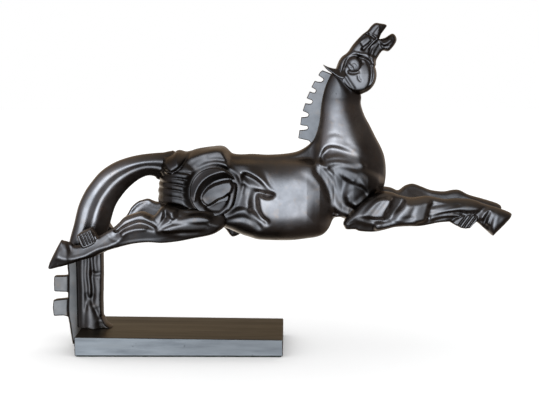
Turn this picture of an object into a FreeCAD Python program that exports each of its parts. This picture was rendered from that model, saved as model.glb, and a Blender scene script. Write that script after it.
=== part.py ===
"""Cubist leaping-horse bronze on a flat plinth, carried by its tail.

Millimetres.  +X is the way the horse leaps, +Y is its left side, +Z is up.  The origin is the
centre of the felt pad's underside, so the statue stands on the plane Z = 0.

The horse is an assembly of separate bronze castings that meet at flat or fitted weld seams.  The
trunk and neck castings are shells, the legs, head and tail are solid.  Legs, head and tail are
located by round tenons that pass through the shell wall and are held by cross pins inside.  The
tail's foot is bolted down through the plinth by two studs.
"""

import FreeCAD, Part
import math
import os

V = FreeCAD.Vector
ALONG = V(1, 0, 0)
ACROSS = V(0, 1, 0)

# ---------------------------------------------------------------- driving dimensions
PLINTH_LENGTH = 260.0
PLINTH_DEPTH = 120.0
PLINTH_TOP_TAIL_END = 25.3      # height of the top face at the tail end
PLINTH_TOP_FREE_END = 22.3      # the hand-dressed top falls a little towards the free end
PLINTH_WALL = 8.0
PLINTH_EDGE = 0.8               # broken edge round the plinth
FELT_THICKNESS = 1.5
FELT_INSET = 2.0

SHELL_WALL = 5.0                # thickness of the hollow castings
SECTION_POINTS = 16             # points round each lofted section
LEG_Y = 30.0                    # a foreleg's middle plane is this far from the centre
HIND_LEG_Y = 32.0

RUMP_SEAM_X = 88.0              # weld seam between hindquarters and barrel
CHEST_SEAM_X = 190.0            # weld seam between barrel and chest
TAIL_SEAM_Z = 130.0             # weld seam between tail arch and column

STUD_RADIUS = 3.0               # M6
STUD_X = -112.0
STUD_YS = (-7.0, 7.0)
STUD_BOTTOM_Z = 5.0
STUD_TOP_Z = 58.0
HOLE_CLEARANCE = 0.05
BOLT_CLEARANCE = 0.3
WASHER_RADIUS = 6.0
WASHER_THICKNESS = 1.6
NUT_ACROSS_FLATS = 10.0
NUT_HEIGHT = 5.0

SCREW_RADIUS = 2.5              # M5
SCREW_YS = (-5.0, 5.0)
SCREW_Z = 11.0
SCREW_DEPTH = 8.0
SCREW_HEAD_RADIUS = 4.25
SCREW_HEAD_LENGTH = 5.0
SCREW_KEY_ACROSS_FLATS = 4.0
SCREW_KEY_DEPTH = 2.5

TENON_RADIUS = 7.0
PIN_RADIUS = 2.0
PIN_LENGTH = 20.0

MANE_HALF_THICKNESS = 3.0
MANE_TEETH = 6
MANE_NOTCH_DEPTH = 9.5
MANE_NOTCH_SHARE = 0.36         # share of the pitch that is notch

# ---------------------------------------------------------------- outlines, seen from the side
# A station is (x, z) on the upper or outer contour, (x, z) on the lower or inner contour, and the
# half width across the horse.
TRUNK = [
    ((-25, 222), (-25, 196), 10),
    ((-21, 238), (-21, 184), 24),
    ((-10, 249), (-10, 172), 34),
    ((8, 253), (8, 165), 39),
    ((32, 257.5), (32, 161), 41),
    ((54, 258), (54, 158), 41),
    ((66, 250), (66, 155), 39),
    ((84, 248.5), (84, 148), 38),
    ((102, 248), (102, 141), 41),
    ((126, 248), (126, 139.5), 44),
    ((150, 250), (150, 139.5), 45),
    ((172, 252), (172, 143), 43),
    ((190, 252), (190, 157), 38),
    ((208, 250), (208, 164), 37),
    ((230, 246), (230, 166), 37),
    ((246, 238), (246, 174), 31),
    ((256, 226), (256, 188), 20),
]
NECK = [
    ((176, 236), (255, 200), 27),
    ((167, 253), (260, 230), 34),
    ((172, 272), (252, 263), 30),
    ((176, 292), (237, 291), 25.5),
    ((179, 312), (229, 311), 22),
    ((184, 333), (229, 322), 19),
    ((189, 347), (228.5, 328), 17.5),
]
HEAD = [
    ((189, 347), (228.5, 328), 17.5),
    ((196, 357), (239, 331), 18.5),
    ((203, 370), (246.5, 349), 19),
    ((211, 377.5), (247, 363), 16.5),
    ((220, 389), (250, 373), 13),
    ((229, 398), (256, 380), 11.5),
]
UPPER_JAW = [
    ((228, 397), (247, 385), 11),
    ((237, 404), (251, 392), 10),
    ((244, 411.5), (254, 399), 10.5),
    ((252, 413), (258, 404), 9.5),
    ((258, 411), (260, 408.5), 6),
]
LOWER_JAW = [
    ((243, 388), (255, 377), 10),
    ((253, 393), (259, 378), 8.5),
    ((260, 396.5), (264, 379), 9),
    ((267, 399.5), (269, 384), 8.5),
    ((271.5, 396.5), (272.5, 391), 5.5),
]
EAR = [
    ((206, 352), (198, 342), 4.5),
    ((197, 357), (190, 350), 4.5),
    ((188.5, 358), (186, 354), 3),
    ((181.5, 361), (181, 360), 0.8),
]
TAIL_ARCH = [
    ((-12, 250), (-15, 222), 13),
    ((-22, 251), (-27, 220), 13),
    ((-37, 250), (-38, 221), 13.5),
    ((-56, 247), (-49, 218), 14),
    ((-76, 241), (-61, 210), 14.5),
    ((-96, 232), (-71, 200), 15),
    ((-113, 215), (-79, 190), 15),
    ((-126, 196), (-84, 180), 15),
    ((-133, 178), (-88, 169), 15),
    ((-139, 154), (-93, 151), 15),
    ((-145.5, TAIL_SEAM_Z), (-98, TAIL_SEAM_Z), 15),
]
TAIL_COLUMN = [
    ((-134, TAIL_SEAM_Z), (-98, TAIL_SEAM_Z), 15),
    ((-134, 96), (-102, 96), 14),
    ((-133.5, 62), (-103, 62), 13.5),
    ((-132, 44), (-101.5, 44), 14),
    ((-131, 31), (-97, 31), 16),
    ((-131, 24), (-90, 24), 18),
]
HIND_LEG_RIGHT = [
    ((-149, 142), (-167, 108), 13),
    ((-142, 141), (-152, 109), 12),
    ((-132, 137.5), (-138, 113.5), 10),
    ((-118, 139), (-121, 118.5), 9.5),
    ((-102, 146), (-104, 123), 9),
    ((-86, 157), (-84, 132), 10),
    ((-68, 172), (-66, 138), 11),
    ((-47, 180), (-48, 141), 12),
    ((-29, 177), (-30, 141.5), 14),
    ((-10, 188), (-12, 141), 17),
    ((16, 179), (16, 145.5), 17),
    ((38, 177), (38, 150), 15),
    ((55, 172), (57, 161), 9),
]
HIND_LEG_LEFT = [
    ((-128, 134), (-142, 104), 12),
    ((-122, 135), (-129, 106), 11),
    ((-114, 133), (-119, 111), 9.5),
    ((-102, 141), (-106, 117), 9),
    ((-88, 152), (-90, 126), 9),
    ((-73, 168), (-74, 137), 10),
    ((-66, 179), (-64, 143), 11),
    ((-48, 188), (-50, 147), 12),
    ((-29, 185), (-31, 147), 14),
    ((-10, 190), (-12, 146), 17),
    ((16, 183), (16, 147), 17),
    ((40, 180), (44, 143), 15),
    ((62, 172), (64, 139), 11),
    ((74, 158), (75, 145), 6),
]
FORELEG_RIGHT = [
    ((234, 196), (212, 160), 13),
    ((250, 204), (238, 154), 17),
    ((268, 203), (264, 158.5), 16),
    ((290, 198), (288, 161), 14),
    ((310, 199), (308, 162.5), 13),
    ((330, 196), (330, 166), 11.5),
    ((347, 195.5), (346, 167), 10),
    ((362, 195), (360, 170), 10),
    ((375, 192), (371, 168), 10.5),
    ((392, 186), (383, 157), 12.5),
    ((413, 179), (392, 150), 14),
]
FORELEG_LEFT = [
    ((234, 196), (212, 162), 13),
    ((250, 203), (238, 156), 16),
    ((266, 203), (260, 158), 16),
    ((284, 204), (280, 160), 15),
    ((300, 206), (297, 162), 14),
    ((319, 200), (316, 166), 12),
    ((338, 197.5), (336, 169), 11),
    ((356, 200), (353, 169), 11),
    ((371, 194), (367, 170), 10),
    ((391, 187.5), (383, 163), 11),
    ((411, 180), (399, 154), 13),
]
# Feather hair behind each fetlock: a wedge outline and its half thickness.
HIND_TUFT = [(-126, 152), (-110, 160), (-101, 146), (-106, 128), (-122, 124)]
FORE_TUFT = [(372, 170), (363, 158.5), (352, 158.5), (337, 166), (346, 180), (365, 182)]
TUFT_HALF_THICKNESS = 7.0
LEFT_HIND_TUFT_SHIFT = (12.0, -8.0)
FORE_TUFT_SHIFT_LEFT = (4.0, 1.0)

TAIL_BLADE = [
    (-134, TAIL_SEAM_Z), (-145.5, TAIL_SEAM_Z), (-147.5, 110), (-146.5, 96), (-149, 93),
    (-163, 92), (-165, 82), (-165.5, 72), (-150, 71), (-147, 67), (-149.5, 62.5), (-165, 61),
    (-168, 50), (-166, 39.5), (-150, 39.5), (-146.5, 34), (-145.5, 20), (-143, 3), (-141.5, 1.5),
    (-130, 1.5), (-130, 26), (-134, 26),
]
BLADE_HALF_THICKNESS = 9.0
LUG_HALF_THICKNESS = 5.5
LUG_X = -147.0

HAUNCH_CENTRE = (44, 207)       # the scroll plate on each haunch
HAUNCH_RADIUS = 30.0
HAUNCH_INNER_Y = 27.0
HAUNCH_OUTER_Y = 45.0


# ---------------------------------------------------------------- shape helpers
def section(station, mid_y, inset=0.0):
    """A closed elliptical wire through a station's two contour points."""
    (ax, az), (bx, bz), half_width = station
    centre = V((ax + bx) / 2, mid_y, (az + bz) / 2)
    reach = V(ax - bx, 0, az - bz) * 0.5
    half_height = reach.Length
    up = reach.normalize() * (half_height - inset)
    across = V(0, half_width - inset, 0)
    turns = [2 * math.pi * i / SECTION_POINTS for i in range(SECTION_POINTS)]
    points = [centre + up * math.cos(t) + across * math.sin(t) for t in turns]
    curve = Part.BSplineCurve()
    curve.interpolate(points, PeriodicFlag=True)
    return Part.Wire(curve.toShape())


def limb(stations, mid_y=0.0, inset=0.0):
    """A solid lofted smoothly through a list of stations."""
    return Part.makeLoft([section(s, mid_y, inset) for s in stations], True, False)


def prism(outline, y_low, y_high):
    """A side-view outline extruded across the horse."""
    points = [V(x, y_low, z) for x, z in outline]
    face = Part.Face(Part.makePolygon(points + points[:1]))
    return face.extrude(V(0, y_high - y_low, 0))


def box(x0, x1, y0, y1, z0, z1):
    return Part.makeBox(x1 - x0, y1 - y0, z1 - z0, V(x0, y0, z0))


def rod(start, end, radius):
    axis = V(*end) - V(*start)
    return Part.makeCylinder(radius, axis.Length, V(*start), axis)


def hexagon_bar(centre, axis, across_flats, length):
    """A hexagonal prism that starts at centre and runs along axis, a unit vector."""
    circumradius = across_flats / math.sqrt(3)
    side = V(0, 1, 0)
    third = axis.cross(side)
    corners = []
    for i in range(6):
        turn = i * math.pi / 3
        corners.append(centre + (side * math.cos(turn) + third * math.sin(turn)) * circumradius)
    return Part.Face(Part.makePolygon(corners + corners[:1])).extrude(axis * length)


def mirrored(shape):
    """The same piece on the other side of the horse."""
    return shape.mirror(V(0, 0, 0), V(0, 1, 0))


def biggest(shape):
    """The main solid of a shape, without any slivers a cut leaves."""
    return max(shape.Solids, key=lambda s: s.Volume)


def plinth_top(x):
    """Height of the plinth's top face at x."""
    share = (x + PLINTH_LENGTH / 2) / PLINTH_LENGTH
    return PLINTH_TOP_TAIL_END + share * (PLINTH_TOP_FREE_END - PLINTH_TOP_TAIL_END)


# ---------------------------------------------------------------- plinth and its fastenings
CEILING_Z = PLINTH_TOP_FREE_END - PLINTH_WALL   # underside of the plinth's top plate


def plinth():
    half_x = PLINTH_LENGTH / 2
    half_y = PLINTH_DEPTH / 2
    side = [
        (-half_x, FELT_THICKNESS), (half_x, FELT_THICKNESS),
        (half_x, PLINTH_TOP_FREE_END), (-half_x, PLINTH_TOP_TAIL_END),
    ]
    block = prism(side, -half_y, half_y)
    block = block.makeChamfer(PLINTH_EDGE, block.Edges)
    hollow = box(-half_x + PLINTH_WALL, half_x - PLINTH_WALL, -half_y + PLINTH_WALL,
                 half_y - PLINTH_WALL, 0, CEILING_Z)
    block = block.cut(hollow)
    for y in STUD_YS:
        block = block.cut(rod((STUD_X, y, 0), (STUD_X, y, 40), STUD_RADIUS + BOLT_CLEARANCE))
    for y in SCREW_YS:
        block = block.cut(rod((-half_x - 1, y, SCREW_Z), (-half_x + PLINTH_WALL + 1, y, SCREW_Z),
                              SCREW_RADIUS + BOLT_CLEARANCE))
    return block


def felt_pad():
    half_x = PLINTH_LENGTH / 2 - FELT_INSET
    half_y = PLINTH_DEPTH / 2 - FELT_INSET
    return box(-half_x, half_x, -half_y, half_y, 0, FELT_THICKNESS)


def column_studs():
    return [rod((STUD_X, y, STUD_BOTTOM_Z), (STUD_X, y, STUD_TOP_Z), STUD_RADIUS)
            for y in STUD_YS]


def stud_washers():
    rings = []
    for y in STUD_YS:
        low = CEILING_Z - WASHER_THICKNESS
        disc = rod((STUD_X, y, low), (STUD_X, y, CEILING_Z), WASHER_RADIUS)
        rings.append(disc.cut(rod((STUD_X, y, low - 1), (STUD_X, y, CEILING_Z + 1),
                                  STUD_RADIUS + BOLT_CLEARANCE)))
    return rings


def stud_nuts():
    nuts = []
    for y in STUD_YS:
        low = CEILING_Z - WASHER_THICKNESS - NUT_HEIGHT
        nut = hexagon_bar(V(STUD_X, y, low), V(0, 0, 1), NUT_ACROSS_FLATS, NUT_HEIGHT)
        nuts.append(nut.cut(rod((STUD_X, y, low - 1), (STUD_X, y, CEILING_Z), STUD_RADIUS)))
    return nuts


def blade_screws():
    inner_face = -PLINTH_LENGTH / 2 + PLINTH_WALL
    screws = []
    for y in SCREW_YS:
        shank = rod((-PLINTH_LENGTH / 2 - SCREW_DEPTH, y, SCREW_Z), (inner_face, y, SCREW_Z),
                    SCREW_RADIUS)
        head = rod((inner_face, y, SCREW_Z), (inner_face + SCREW_HEAD_LENGTH, y, SCREW_Z),
                   SCREW_HEAD_RADIUS)
        key = hexagon_bar(V(inner_face + SCREW_HEAD_LENGTH - SCREW_KEY_DEPTH, y, SCREW_Z),
                          V(1, 0, 0), SCREW_KEY_ACROSS_FLATS, SCREW_KEY_DEPTH + 1)
        screws.append(shank.fuse(head).cut(key).removeSplitter())
    return screws


# ---------------------------------------------------------------- tail
ARCH_TENON_X = -116.0           # tenon between arch and column
ARCH_TENON_RADIUS = 6.0
ARCH_TENON_DEPTH = 16.0
TAIL_TENON_Z = 236.0            # tenon between arch and hindquarters
TAIL_TENON_END_X = 8.0
TAIL_PIN_X = 3.0

# The column is fluted on both sides: (x, top z, bottom z, half gap between the two flutes).
FLUTE_RADIUS = 2.6
FLUTES = [(-127.5, 128, 60, 14.2), (-120, 128, 36, 15.6), (-112.5, 128, 62, 15.2),
          (-108, 96, 46, 13.6)]


def tail_column():
    column = limb(TAIL_COLUMN)
    floor = prism([(-200, -5), (0, -5), (0, plinth_top(0)), (-200, plinth_top(-200))], -60, 60)
    column = column.cut(floor)
    for x, top, bottom, half_gap in FLUTES:
        for sign in (-1, 1):
            y = sign * half_gap
            column = column.cut(rod((x, y, bottom), (x, y, top), FLUTE_RADIUS))
    for y in STUD_YS:
        column = column.cut(rod((STUD_X, y, 0), (STUD_X, y, STUD_TOP_Z + 2),
                                STUD_RADIUS + HOLE_CLEARANCE))
    socket = rod((ARCH_TENON_X, 0, TAIL_SEAM_Z - ARCH_TENON_DEPTH - 1),
                 (ARCH_TENON_X, 0, TAIL_SEAM_Z + 1), ARCH_TENON_RADIUS + HOLE_CLEARANCE)
    return column.cut(socket)


def tail_blade(column_outer):
    blade = prism(TAIL_BLADE, -BLADE_HALF_THICKNESS, BLADE_HALF_THICKNESS)
    for y0, y1 in ((-20, -LUG_HALF_THICKNESS), (LUG_HALF_THICKNESS, 20)):
        blade = blade.cut(box(-200, LUG_X, y0, y1, 36, 95))
    blade = blade.cut(column_outer)
    for y in SCREW_YS:
        blade = blade.cut(rod((-PLINTH_LENGTH / 2 - SCREW_DEPTH - 1, y, SCREW_Z),
                              (-PLINTH_LENGTH / 2 + 1, y, SCREW_Z), SCREW_RADIUS + HOLE_CLEARANCE))
    return blade


def tail_arch(trunk_outer):
    arch = limb(TAIL_ARCH).cut(trunk_outer)
    lower = rod((ARCH_TENON_X, 0, TAIL_SEAM_Z - ARCH_TENON_DEPTH), (ARCH_TENON_X, 0, TAIL_SEAM_Z + 8),
                ARCH_TENON_RADIUS)
    upper = rod((-30, 0, TAIL_TENON_Z), (TAIL_TENON_END_X, 0, TAIL_TENON_Z), TENON_RADIUS)
    arch = arch.fuse(lower).fuse(upper)
    return arch.cut(pin_bore(V(TAIL_PIN_X, 0, TAIL_TENON_Z), ACROSS))


# ---------------------------------------------------------------- cross pins inside the shells
def pin(place, axis, clearance=0.0, reach=PIN_LENGTH / 2):
    """A cross pin centred at place along a unit vector."""
    return Part.makeCylinder(PIN_RADIUS + clearance, 2 * reach, place - axis * reach, axis)


def pin_bore(place, axis):
    return pin(place, axis, HOLE_CLEARANCE, PIN_LENGTH)


# ---------------------------------------------------------------- legs
# A tenon runs from (x, y, z) in the leg to (x, y, z) inside the shell, given for the left side.
FORE_TENON = ((238, 40, 187), (238, 8, 187))
HIND_TENON = ((12, 34, 166), (12, 11, 197))
PIN_SHARE = 0.82                # how far along its tenon the cross pin sits


def on_side(place, sign):
    return V(place[0], sign * place[1], place[2])


def tenon_rod(tenon, sign, clearance=0.0):
    start = on_side(tenon[0], sign)
    end = on_side(tenon[1], sign)
    return Part.makeCylinder(TENON_RADIUS + clearance, (end - start).Length, start, end - start)


def tenon_pin_place(tenon, sign):
    start = on_side(tenon[0], sign)
    end = on_side(tenon[1], sign)
    return start + (end - start) * PIN_SHARE


def leg(stations, mid_y, tuft, tuft_shift, tenon, body_outer):
    """A solid leg casting trimmed to the body it is welded to, with its tenon."""
    sign = 1 if mid_y > 0 else -1
    shape = limb(stations, mid_y)
    dx, dz = tuft_shift
    hair = prism([(x + dx, z + dz) for x, z in tuft], mid_y - TUFT_HALF_THICKNESS,
                 mid_y + TUFT_HALF_THICKNESS)
    for body in body_outer:
        shape = shape.cut(body)
    shape = biggest(biggest(shape).fuse(hair))
    shape = shape.fuse(tenon_rod(tenon, sign))
    return shape.cut(pin_bore(tenon_pin_place(tenon, sign), ALONG))


def leg_pins():
    return [pin(tenon_pin_place(tenon, sign), ALONG)
            for tenon in (FORE_TENON, HIND_TENON) for sign in (-1, 1)]


# ---------------------------------------------------------------- mane
def circle_through(a, b, c):
    """Centre and radius of the circle through three points of the side view."""
    arc = Part.Arc(V(a[0], 0, a[1]), V(b[0], 0, b[1]), V(c[0], 0, c[1])).toShape().Curve
    return arc.Center, arc.Radius


MANE_FOOT = (149.5, 269.0)
MANE_MIDDLE = (157.5, 313.0)
MANE_TOP = (180.0, 354.0)
MANE_ROOT_DEPTH = 34.0          # the plate reaches this far in, and the neck trims it


def mane_crest(neck_outer, head_outer):
    centre, radius = circle_through(MANE_FOOT, MANE_MIDDLE, MANE_TOP)

    def angle(point):
        return math.atan2(point[1] - centre.z, point[0] - centre.x)

    def place(turn, depth):
        reach = radius - depth
        return centre.x + reach * math.cos(turn), centre.z + reach * math.sin(turn)

    low, high = angle(MANE_FOOT), angle(MANE_TOP)
    if low < 0:
        low += 2 * math.pi
    if high < 0:
        high += 2 * math.pi
    pitch = (high - low) / (MANE_TEETH - MANE_NOTCH_SHARE)
    outline = [place(low, 0)]
    for i in range(MANE_TEETH):
        start = low + i * pitch
        tooth_end = start + pitch * (1 - MANE_NOTCH_SHARE)
        outline.append(place(tooth_end, 0))
        if i == MANE_TEETH - 1:
            break
        notch = pitch * MANE_NOTCH_SHARE
        outline.append(place(tooth_end + 0.15 * notch, 0.75 * MANE_NOTCH_DEPTH))
        outline.append(place(tooth_end + 0.45 * notch, MANE_NOTCH_DEPTH))
        outline.append(place(tooth_end + 0.85 * notch, 0.8 * MANE_NOTCH_DEPTH))
        outline.append(place(start + pitch, 0))
    outline.append(place(high, MANE_ROOT_DEPTH / 2))
    outline.append(place(low + pitch, MANE_ROOT_DEPTH))
    outline.append(place(low, 16))
    plate = prism(outline, -MANE_HALF_THICKNESS, MANE_HALF_THICKNESS)
    return plate.cut(neck_outer).cut(head_outer)


# ---------------------------------------------------------------- trunk, neck and head
HEAD_TENON = ((213, 0, 350), (205, 0, 310))


def head_solid():
    head = limb(HEAD).fuse(limb(UPPER_JAW)).fuse(limb(LOWER_JAW))
    return head.removeSplitter()


def haunch_disc():
    """The round boss on the right haunch, before its scroll is cut."""
    cx, cz = HAUNCH_CENTRE
    disc = rod((cx, -HAUNCH_OUTER_Y, cz), (cx, -HAUNCH_INNER_Y, cz), HAUNCH_RADIUS)
    outer = [e for e in disc.Edges if abs(e.CenterOfMass.y + HAUNCH_OUTER_Y) < 0.1]
    return disc.makeFillet(4.0, outer)


def haunch_scroll(disc):
    """A ring groove round a sunken leaf-shaped field, cut into the boss."""
    cx, cz = HAUNCH_CENTRE
    groove = rod((cx, -HAUNCH_OUTER_Y - 1, cz), (cx, -HAUNCH_OUTER_Y + 5, cz), HAUNCH_RADIUS - 7)
    core = rod((cx, -HAUNCH_OUTER_Y - 1, cz), (cx, -HAUNCH_OUTER_Y + 6, cz), HAUNCH_RADIUS - 11)
    return disc.cut(groove.cut(core))


def trunk_castings(trunk_outer, discs):
    """Hindquarters, barrel and chest: one hollow trunk parted at its two weld seams."""
    hollow = limb(TRUNK[1:], 0.0, SHELL_WALL)
    shell = trunk_outer.cut(hollow)
    for disc in discs:
        shell = shell.cut(disc)
    shell = shell.cut(rod((-60, 0, TAIL_TENON_Z), (20, 0, TAIL_TENON_Z),
                          TENON_RADIUS + HOLE_CLEARANCE))
    for tenon in (FORE_TENON, HIND_TENON):
        for sign in (-1, 1):
            shell = shell.cut(tenon_rod(tenon, sign, HOLE_CLEARANCE))
    far = 400
    rear = box(-far, RUMP_SEAM_X, -far, far, 0, far)
    middle = box(RUMP_SEAM_X, CHEST_SEAM_X, -far, far, 0, far)
    front = box(CHEST_SEAM_X, far, -far, far, 0, far)
    return [biggest(shell.common(part)) for part in (rear, middle, front)]


def neck_casting(neck_outer, trunk_outer):
    """A hollow neck, closed at the top, where the head's tenon enters."""
    hollow = limb(NECK[:-1], 0.0, SHELL_WALL)
    bore = tenon_rod(HEAD_TENON, 1, HOLE_CLEARANCE)
    return biggest(neck_outer.cut(hollow).cut(trunk_outer).cut(bore))


# ---------------------------------------------------------------- build and write
def build():
    trunk_outer = limb(TRUNK)
    neck_outer = limb(NECK)
    head_outer = head_solid()
    column_outer = limb(TAIL_COLUMN)
    disc = haunch_disc()
    discs = [disc, mirrored(disc)]
    scroll = haunch_scroll(disc)
    scrolls = [scroll, mirrored(scroll)]

    hindquarters, barrel, chest = trunk_castings(trunk_outer, discs)
    head_pin_place = tenon_pin_place(HEAD_TENON, 1)
    head = head_outer.fuse(tenon_rod(HEAD_TENON, 1)).cut(pin_bore(head_pin_place, ACROSS))

    ears = []
    for sign in (-1, 1):
        ear = limb(EAR, sign * 11.0)
        ears.append(biggest(ear.cut(head_outer).cut(neck_outer)))

    parts = {
        "felt_pad": [felt_pad()],
        "plinth": [plinth()],
        "column_studs": column_studs(),
        "stud_washers": stud_washers(),
        "stud_nuts": stud_nuts(),
        "blade_screws": blade_screws(),
        "tail_column": [tail_column()],
        "tail_blade": [biggest(tail_blade(column_outer))],
        "tail_arch": [tail_arch(trunk_outer)],
        "tail_pin": [pin(V(TAIL_PIN_X, 0, TAIL_TENON_Z), ACROSS)],
        "hindquarters": [hindquarters],
        "haunch_scroll_right": [scrolls[0]],
        "haunch_scroll_left": [scrolls[1]],
        "barrel": [barrel],
        "chest": [chest],
        "neck": [neck_casting(neck_outer, trunk_outer)],
        "head": [biggest(head)],
        "head_pin": [pin(head_pin_place, ACROSS)],
        "ear_right": [ears[0]],
        "ear_left": [ears[1]],
        "mane_crest": [biggest(mane_crest(neck_outer, head_outer))],
        "leg_pins": leg_pins(),
        "hind_leg_right": [leg(HIND_LEG_RIGHT, -HIND_LEG_Y, HIND_TUFT, (0, 0), HIND_TENON,
                               [trunk_outer, discs[0]])],
        "hind_leg_left": [leg(HIND_LEG_LEFT, HIND_LEG_Y, HIND_TUFT, LEFT_HIND_TUFT_SHIFT,
                              HIND_TENON, [trunk_outer, discs[1]])],
        "foreleg_right": [leg(FORELEG_RIGHT, -LEG_Y, FORE_TUFT, (0, 0), FORE_TENON,
                              [trunk_outer, neck_outer])],
        "foreleg_left": [leg(FORELEG_LEFT, LEG_Y, FORE_TUFT, FORE_TUFT_SHIFT_LEFT, FORE_TENON,
                             [trunk_outer, neck_outer])],
    }
    return parts


def write(parts):
    os.makedirs("parts", exist_ok=True)
    for name, shapes in parts.items():
        solids = [solid for shape in shapes for solid in shape.Solids]
        whole = solids[0] if len(solids) == 1 else Part.makeCompound(solids)
        whole.exportStep(os.path.join("parts", name + ".step"))
        volume = sum(s.Volume for s in solids)
        print(f"{name}: {len(solids)} solid(s), {volume / 1000:.1f} cm3, valid {whole.isValid()}")


write(build())
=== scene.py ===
"""Looks of the leaping-horse bronze: every casting is sculpted as a field, meshed and given a patina.

Shapes are drawn in the side view, in millimetres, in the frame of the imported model: x towards the
head, y towards the horse's left, z up.  A casting is a cushion over a side-view outline; its relief
(ribs, straps, plates, hair) is laid on in the same view and shows on both of its sides.
"""

import math

import bmesh
import bpy
import numpy as np
from mathutils import Matrix, Vector


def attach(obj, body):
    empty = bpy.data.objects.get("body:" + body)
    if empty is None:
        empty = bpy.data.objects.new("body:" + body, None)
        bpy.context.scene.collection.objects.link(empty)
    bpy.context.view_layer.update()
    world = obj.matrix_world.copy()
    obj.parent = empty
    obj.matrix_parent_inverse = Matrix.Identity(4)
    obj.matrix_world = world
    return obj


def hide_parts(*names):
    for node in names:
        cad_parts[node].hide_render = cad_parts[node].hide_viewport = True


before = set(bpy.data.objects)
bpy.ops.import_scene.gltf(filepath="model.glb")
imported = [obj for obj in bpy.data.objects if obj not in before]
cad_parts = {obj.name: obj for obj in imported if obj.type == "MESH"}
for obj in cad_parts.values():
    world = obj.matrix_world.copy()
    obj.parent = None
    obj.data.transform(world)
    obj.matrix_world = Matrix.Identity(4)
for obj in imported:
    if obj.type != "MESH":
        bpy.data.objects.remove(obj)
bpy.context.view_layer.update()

MM = 0.001
COARSE = 1.0      # factor on every block's cell size; above 1 gives coarser cells


# ---------------------------------------------------------------- drawing in the side view
def curve_points(points, closed=False, parts=6):
    """Points along a smooth curve through given points (Catmull-Rom)."""
    p = np.array(points, float)
    if closed:
        p = np.vstack([p[-1], p, p[0], p[1]])
    else:
        p = np.vstack([2 * p[0] - p[1], p, 2 * p[-1] - p[-2]])
    t = np.arange(parts)[:, None] / parts
    out = []
    for a, b, c, d in zip(p[:-3], p[1:-2], p[2:-1], p[3:]):
        out.append(0.5 * (2 * b + (c - a) * t + (2 * a - 5 * b + 4 * c - d) * t ** 2
            + (3 * b - a - 3 * c + d) * t ** 3))
    if not closed:
        out.append(p[-2:-1])
    return np.vstack(out)


class Block:
    """A box of cells that one casting is sculpted in."""

    def __init__(self, low, high, cell):
        self.box = low, high, cell
        self.cell = cell * COARSE
        self.low = np.array(low, float)
        n = np.ceil((np.array(high, float) - self.low) / self.cell).astype(int) + 1
        axes = [self.low[i] + self.cell * np.arange(n[i]) for i in range(3)]
        self.x = axes[0].astype(np.float32)
        self.y = axes[1].astype(np.float32)[None, :, None]
        self.z = axes[2].astype(np.float32)
        self.X, self.Z = np.meshgrid(self.x, self.z, indexing="ij")

    def shifted(self, dx, dz):
        """The same cells, with what is drawn in them moved by dx and dz."""
        low, high, cell = self.box
        return Block((low[0] - dx, low[1], low[2] - dz), (high[0] - dx, high[1], high[2] - dz), cell)

    def along(self, *pairs):
        """A value that changes with x, through (x, value) pairs."""
        xs, values = zip(*pairs)
        return np.interp(self.X, xs, values).astype(np.float32)

    def level(self, *pairs):
        """The same with z."""
        zs, values = zip(*pairs)
        return np.interp(self.Z, zs, values).astype(np.float32)

    def off(self, line, smooth=True):
        """Distance from a line drawn in the side view."""
        pts = curve_points(line) if smooth and len(line) > 2 else np.array(line, float)
        return self._distance(pts[:-1], pts[1:])

    def _distance(self, starts, ends):
        best = np.full(self.X.shape, 1e9, np.float32)
        for (ax, az), (bx, bz) in zip(starts, ends):
            dx, dz = bx - ax, bz - az
            size = dx * dx + dz * dz
            if size < 1e-9:
                continue
            t = np.clip(((self.X - ax) * dx + (self.Z - az) * dz) / size, 0, 1)
            np.minimum(best, (self.X - ax - t * dx) ** 2 + (self.Z - az - t * dz) ** 2, out=best)
        return np.sqrt(best)

    def away(self, x, z):
        """Distance from a point."""
        return np.hypot(self.X - x, self.Z - z)

    def inside(self, outline, smooth=True, parts=4):
        """Signed distance to a closed outline, positive inside."""
        pts = curve_points(outline, True, parts) if smooth else np.array(outline, float)
        ends = np.roll(pts, -1, axis=0)
        odd = np.zeros(self.X.shape, bool)
        for (ax, az), (bx, bz) in zip(pts, ends):
            if az == bz:
                continue
            crosses = (az > self.Z) != (bz > self.Z)
            odd ^= crosses & (self.X < (bx - ax) * (self.Z - az) / (bz - az) + ax)
        return np.where(odd, 1, -1).astype(np.float32) * self._distance(pts, ends)


def bump(distance, width):
    """1 on the line, falling smoothly to 0."""
    return np.exp(-(distance / width) ** 2)


def ramp(value, soft):
    """0 below -soft, 1 above +soft."""
    t = np.clip(value / (2 * soft) + 0.5, 0, 1)
    return t * t * (3 - 2 * t)


# ---------------------------------------------------------------- fields
def cushion(b, d, mid, half, rim, relief=None, power=2.0):
    """The field of a form that fills the outline whose signed distance is d, negative inside.  It
    reaches half to either side of the plane y = mid, where relief raises it, and is rounded over
    the width rim; a higher power makes it boxier."""
    e = np.maximum(1 - d / rim, 0).astype(np.float32)[:, None, :]
    half = (np.zeros_like(d) + half)[:, None, :]
    rim = (np.zeros_like(d) + rim)[:, None, :]
    t = np.abs(b.y - np.float32(mid))
    if relief is not None:
        t = np.maximum(t - relief[:, None, :], 0)
    t = t / half
    if power == 2.0:
        q = np.sqrt(t * t + e * e)
    else:
        q = (t ** power + e ** power) ** (1 / power)
    size = (t * half + e * rim + 1e-3 * half) / (t + e + 1e-3)
    return (q - 1) * size


def join(a, b, soft=0.0):
    """Both fields as one body, blended over soft.  Of two maps, the lower."""
    if soft <= 0:
        return np.minimum(a, b)
    h = np.maximum(soft - np.abs(a - b), 0) / soft
    return np.minimum(a, b) - h * h * soft * 0.25


def both(a, b, soft=0.0):
    """What two fields have in common."""
    return -join(-a, -b, soft)


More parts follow.
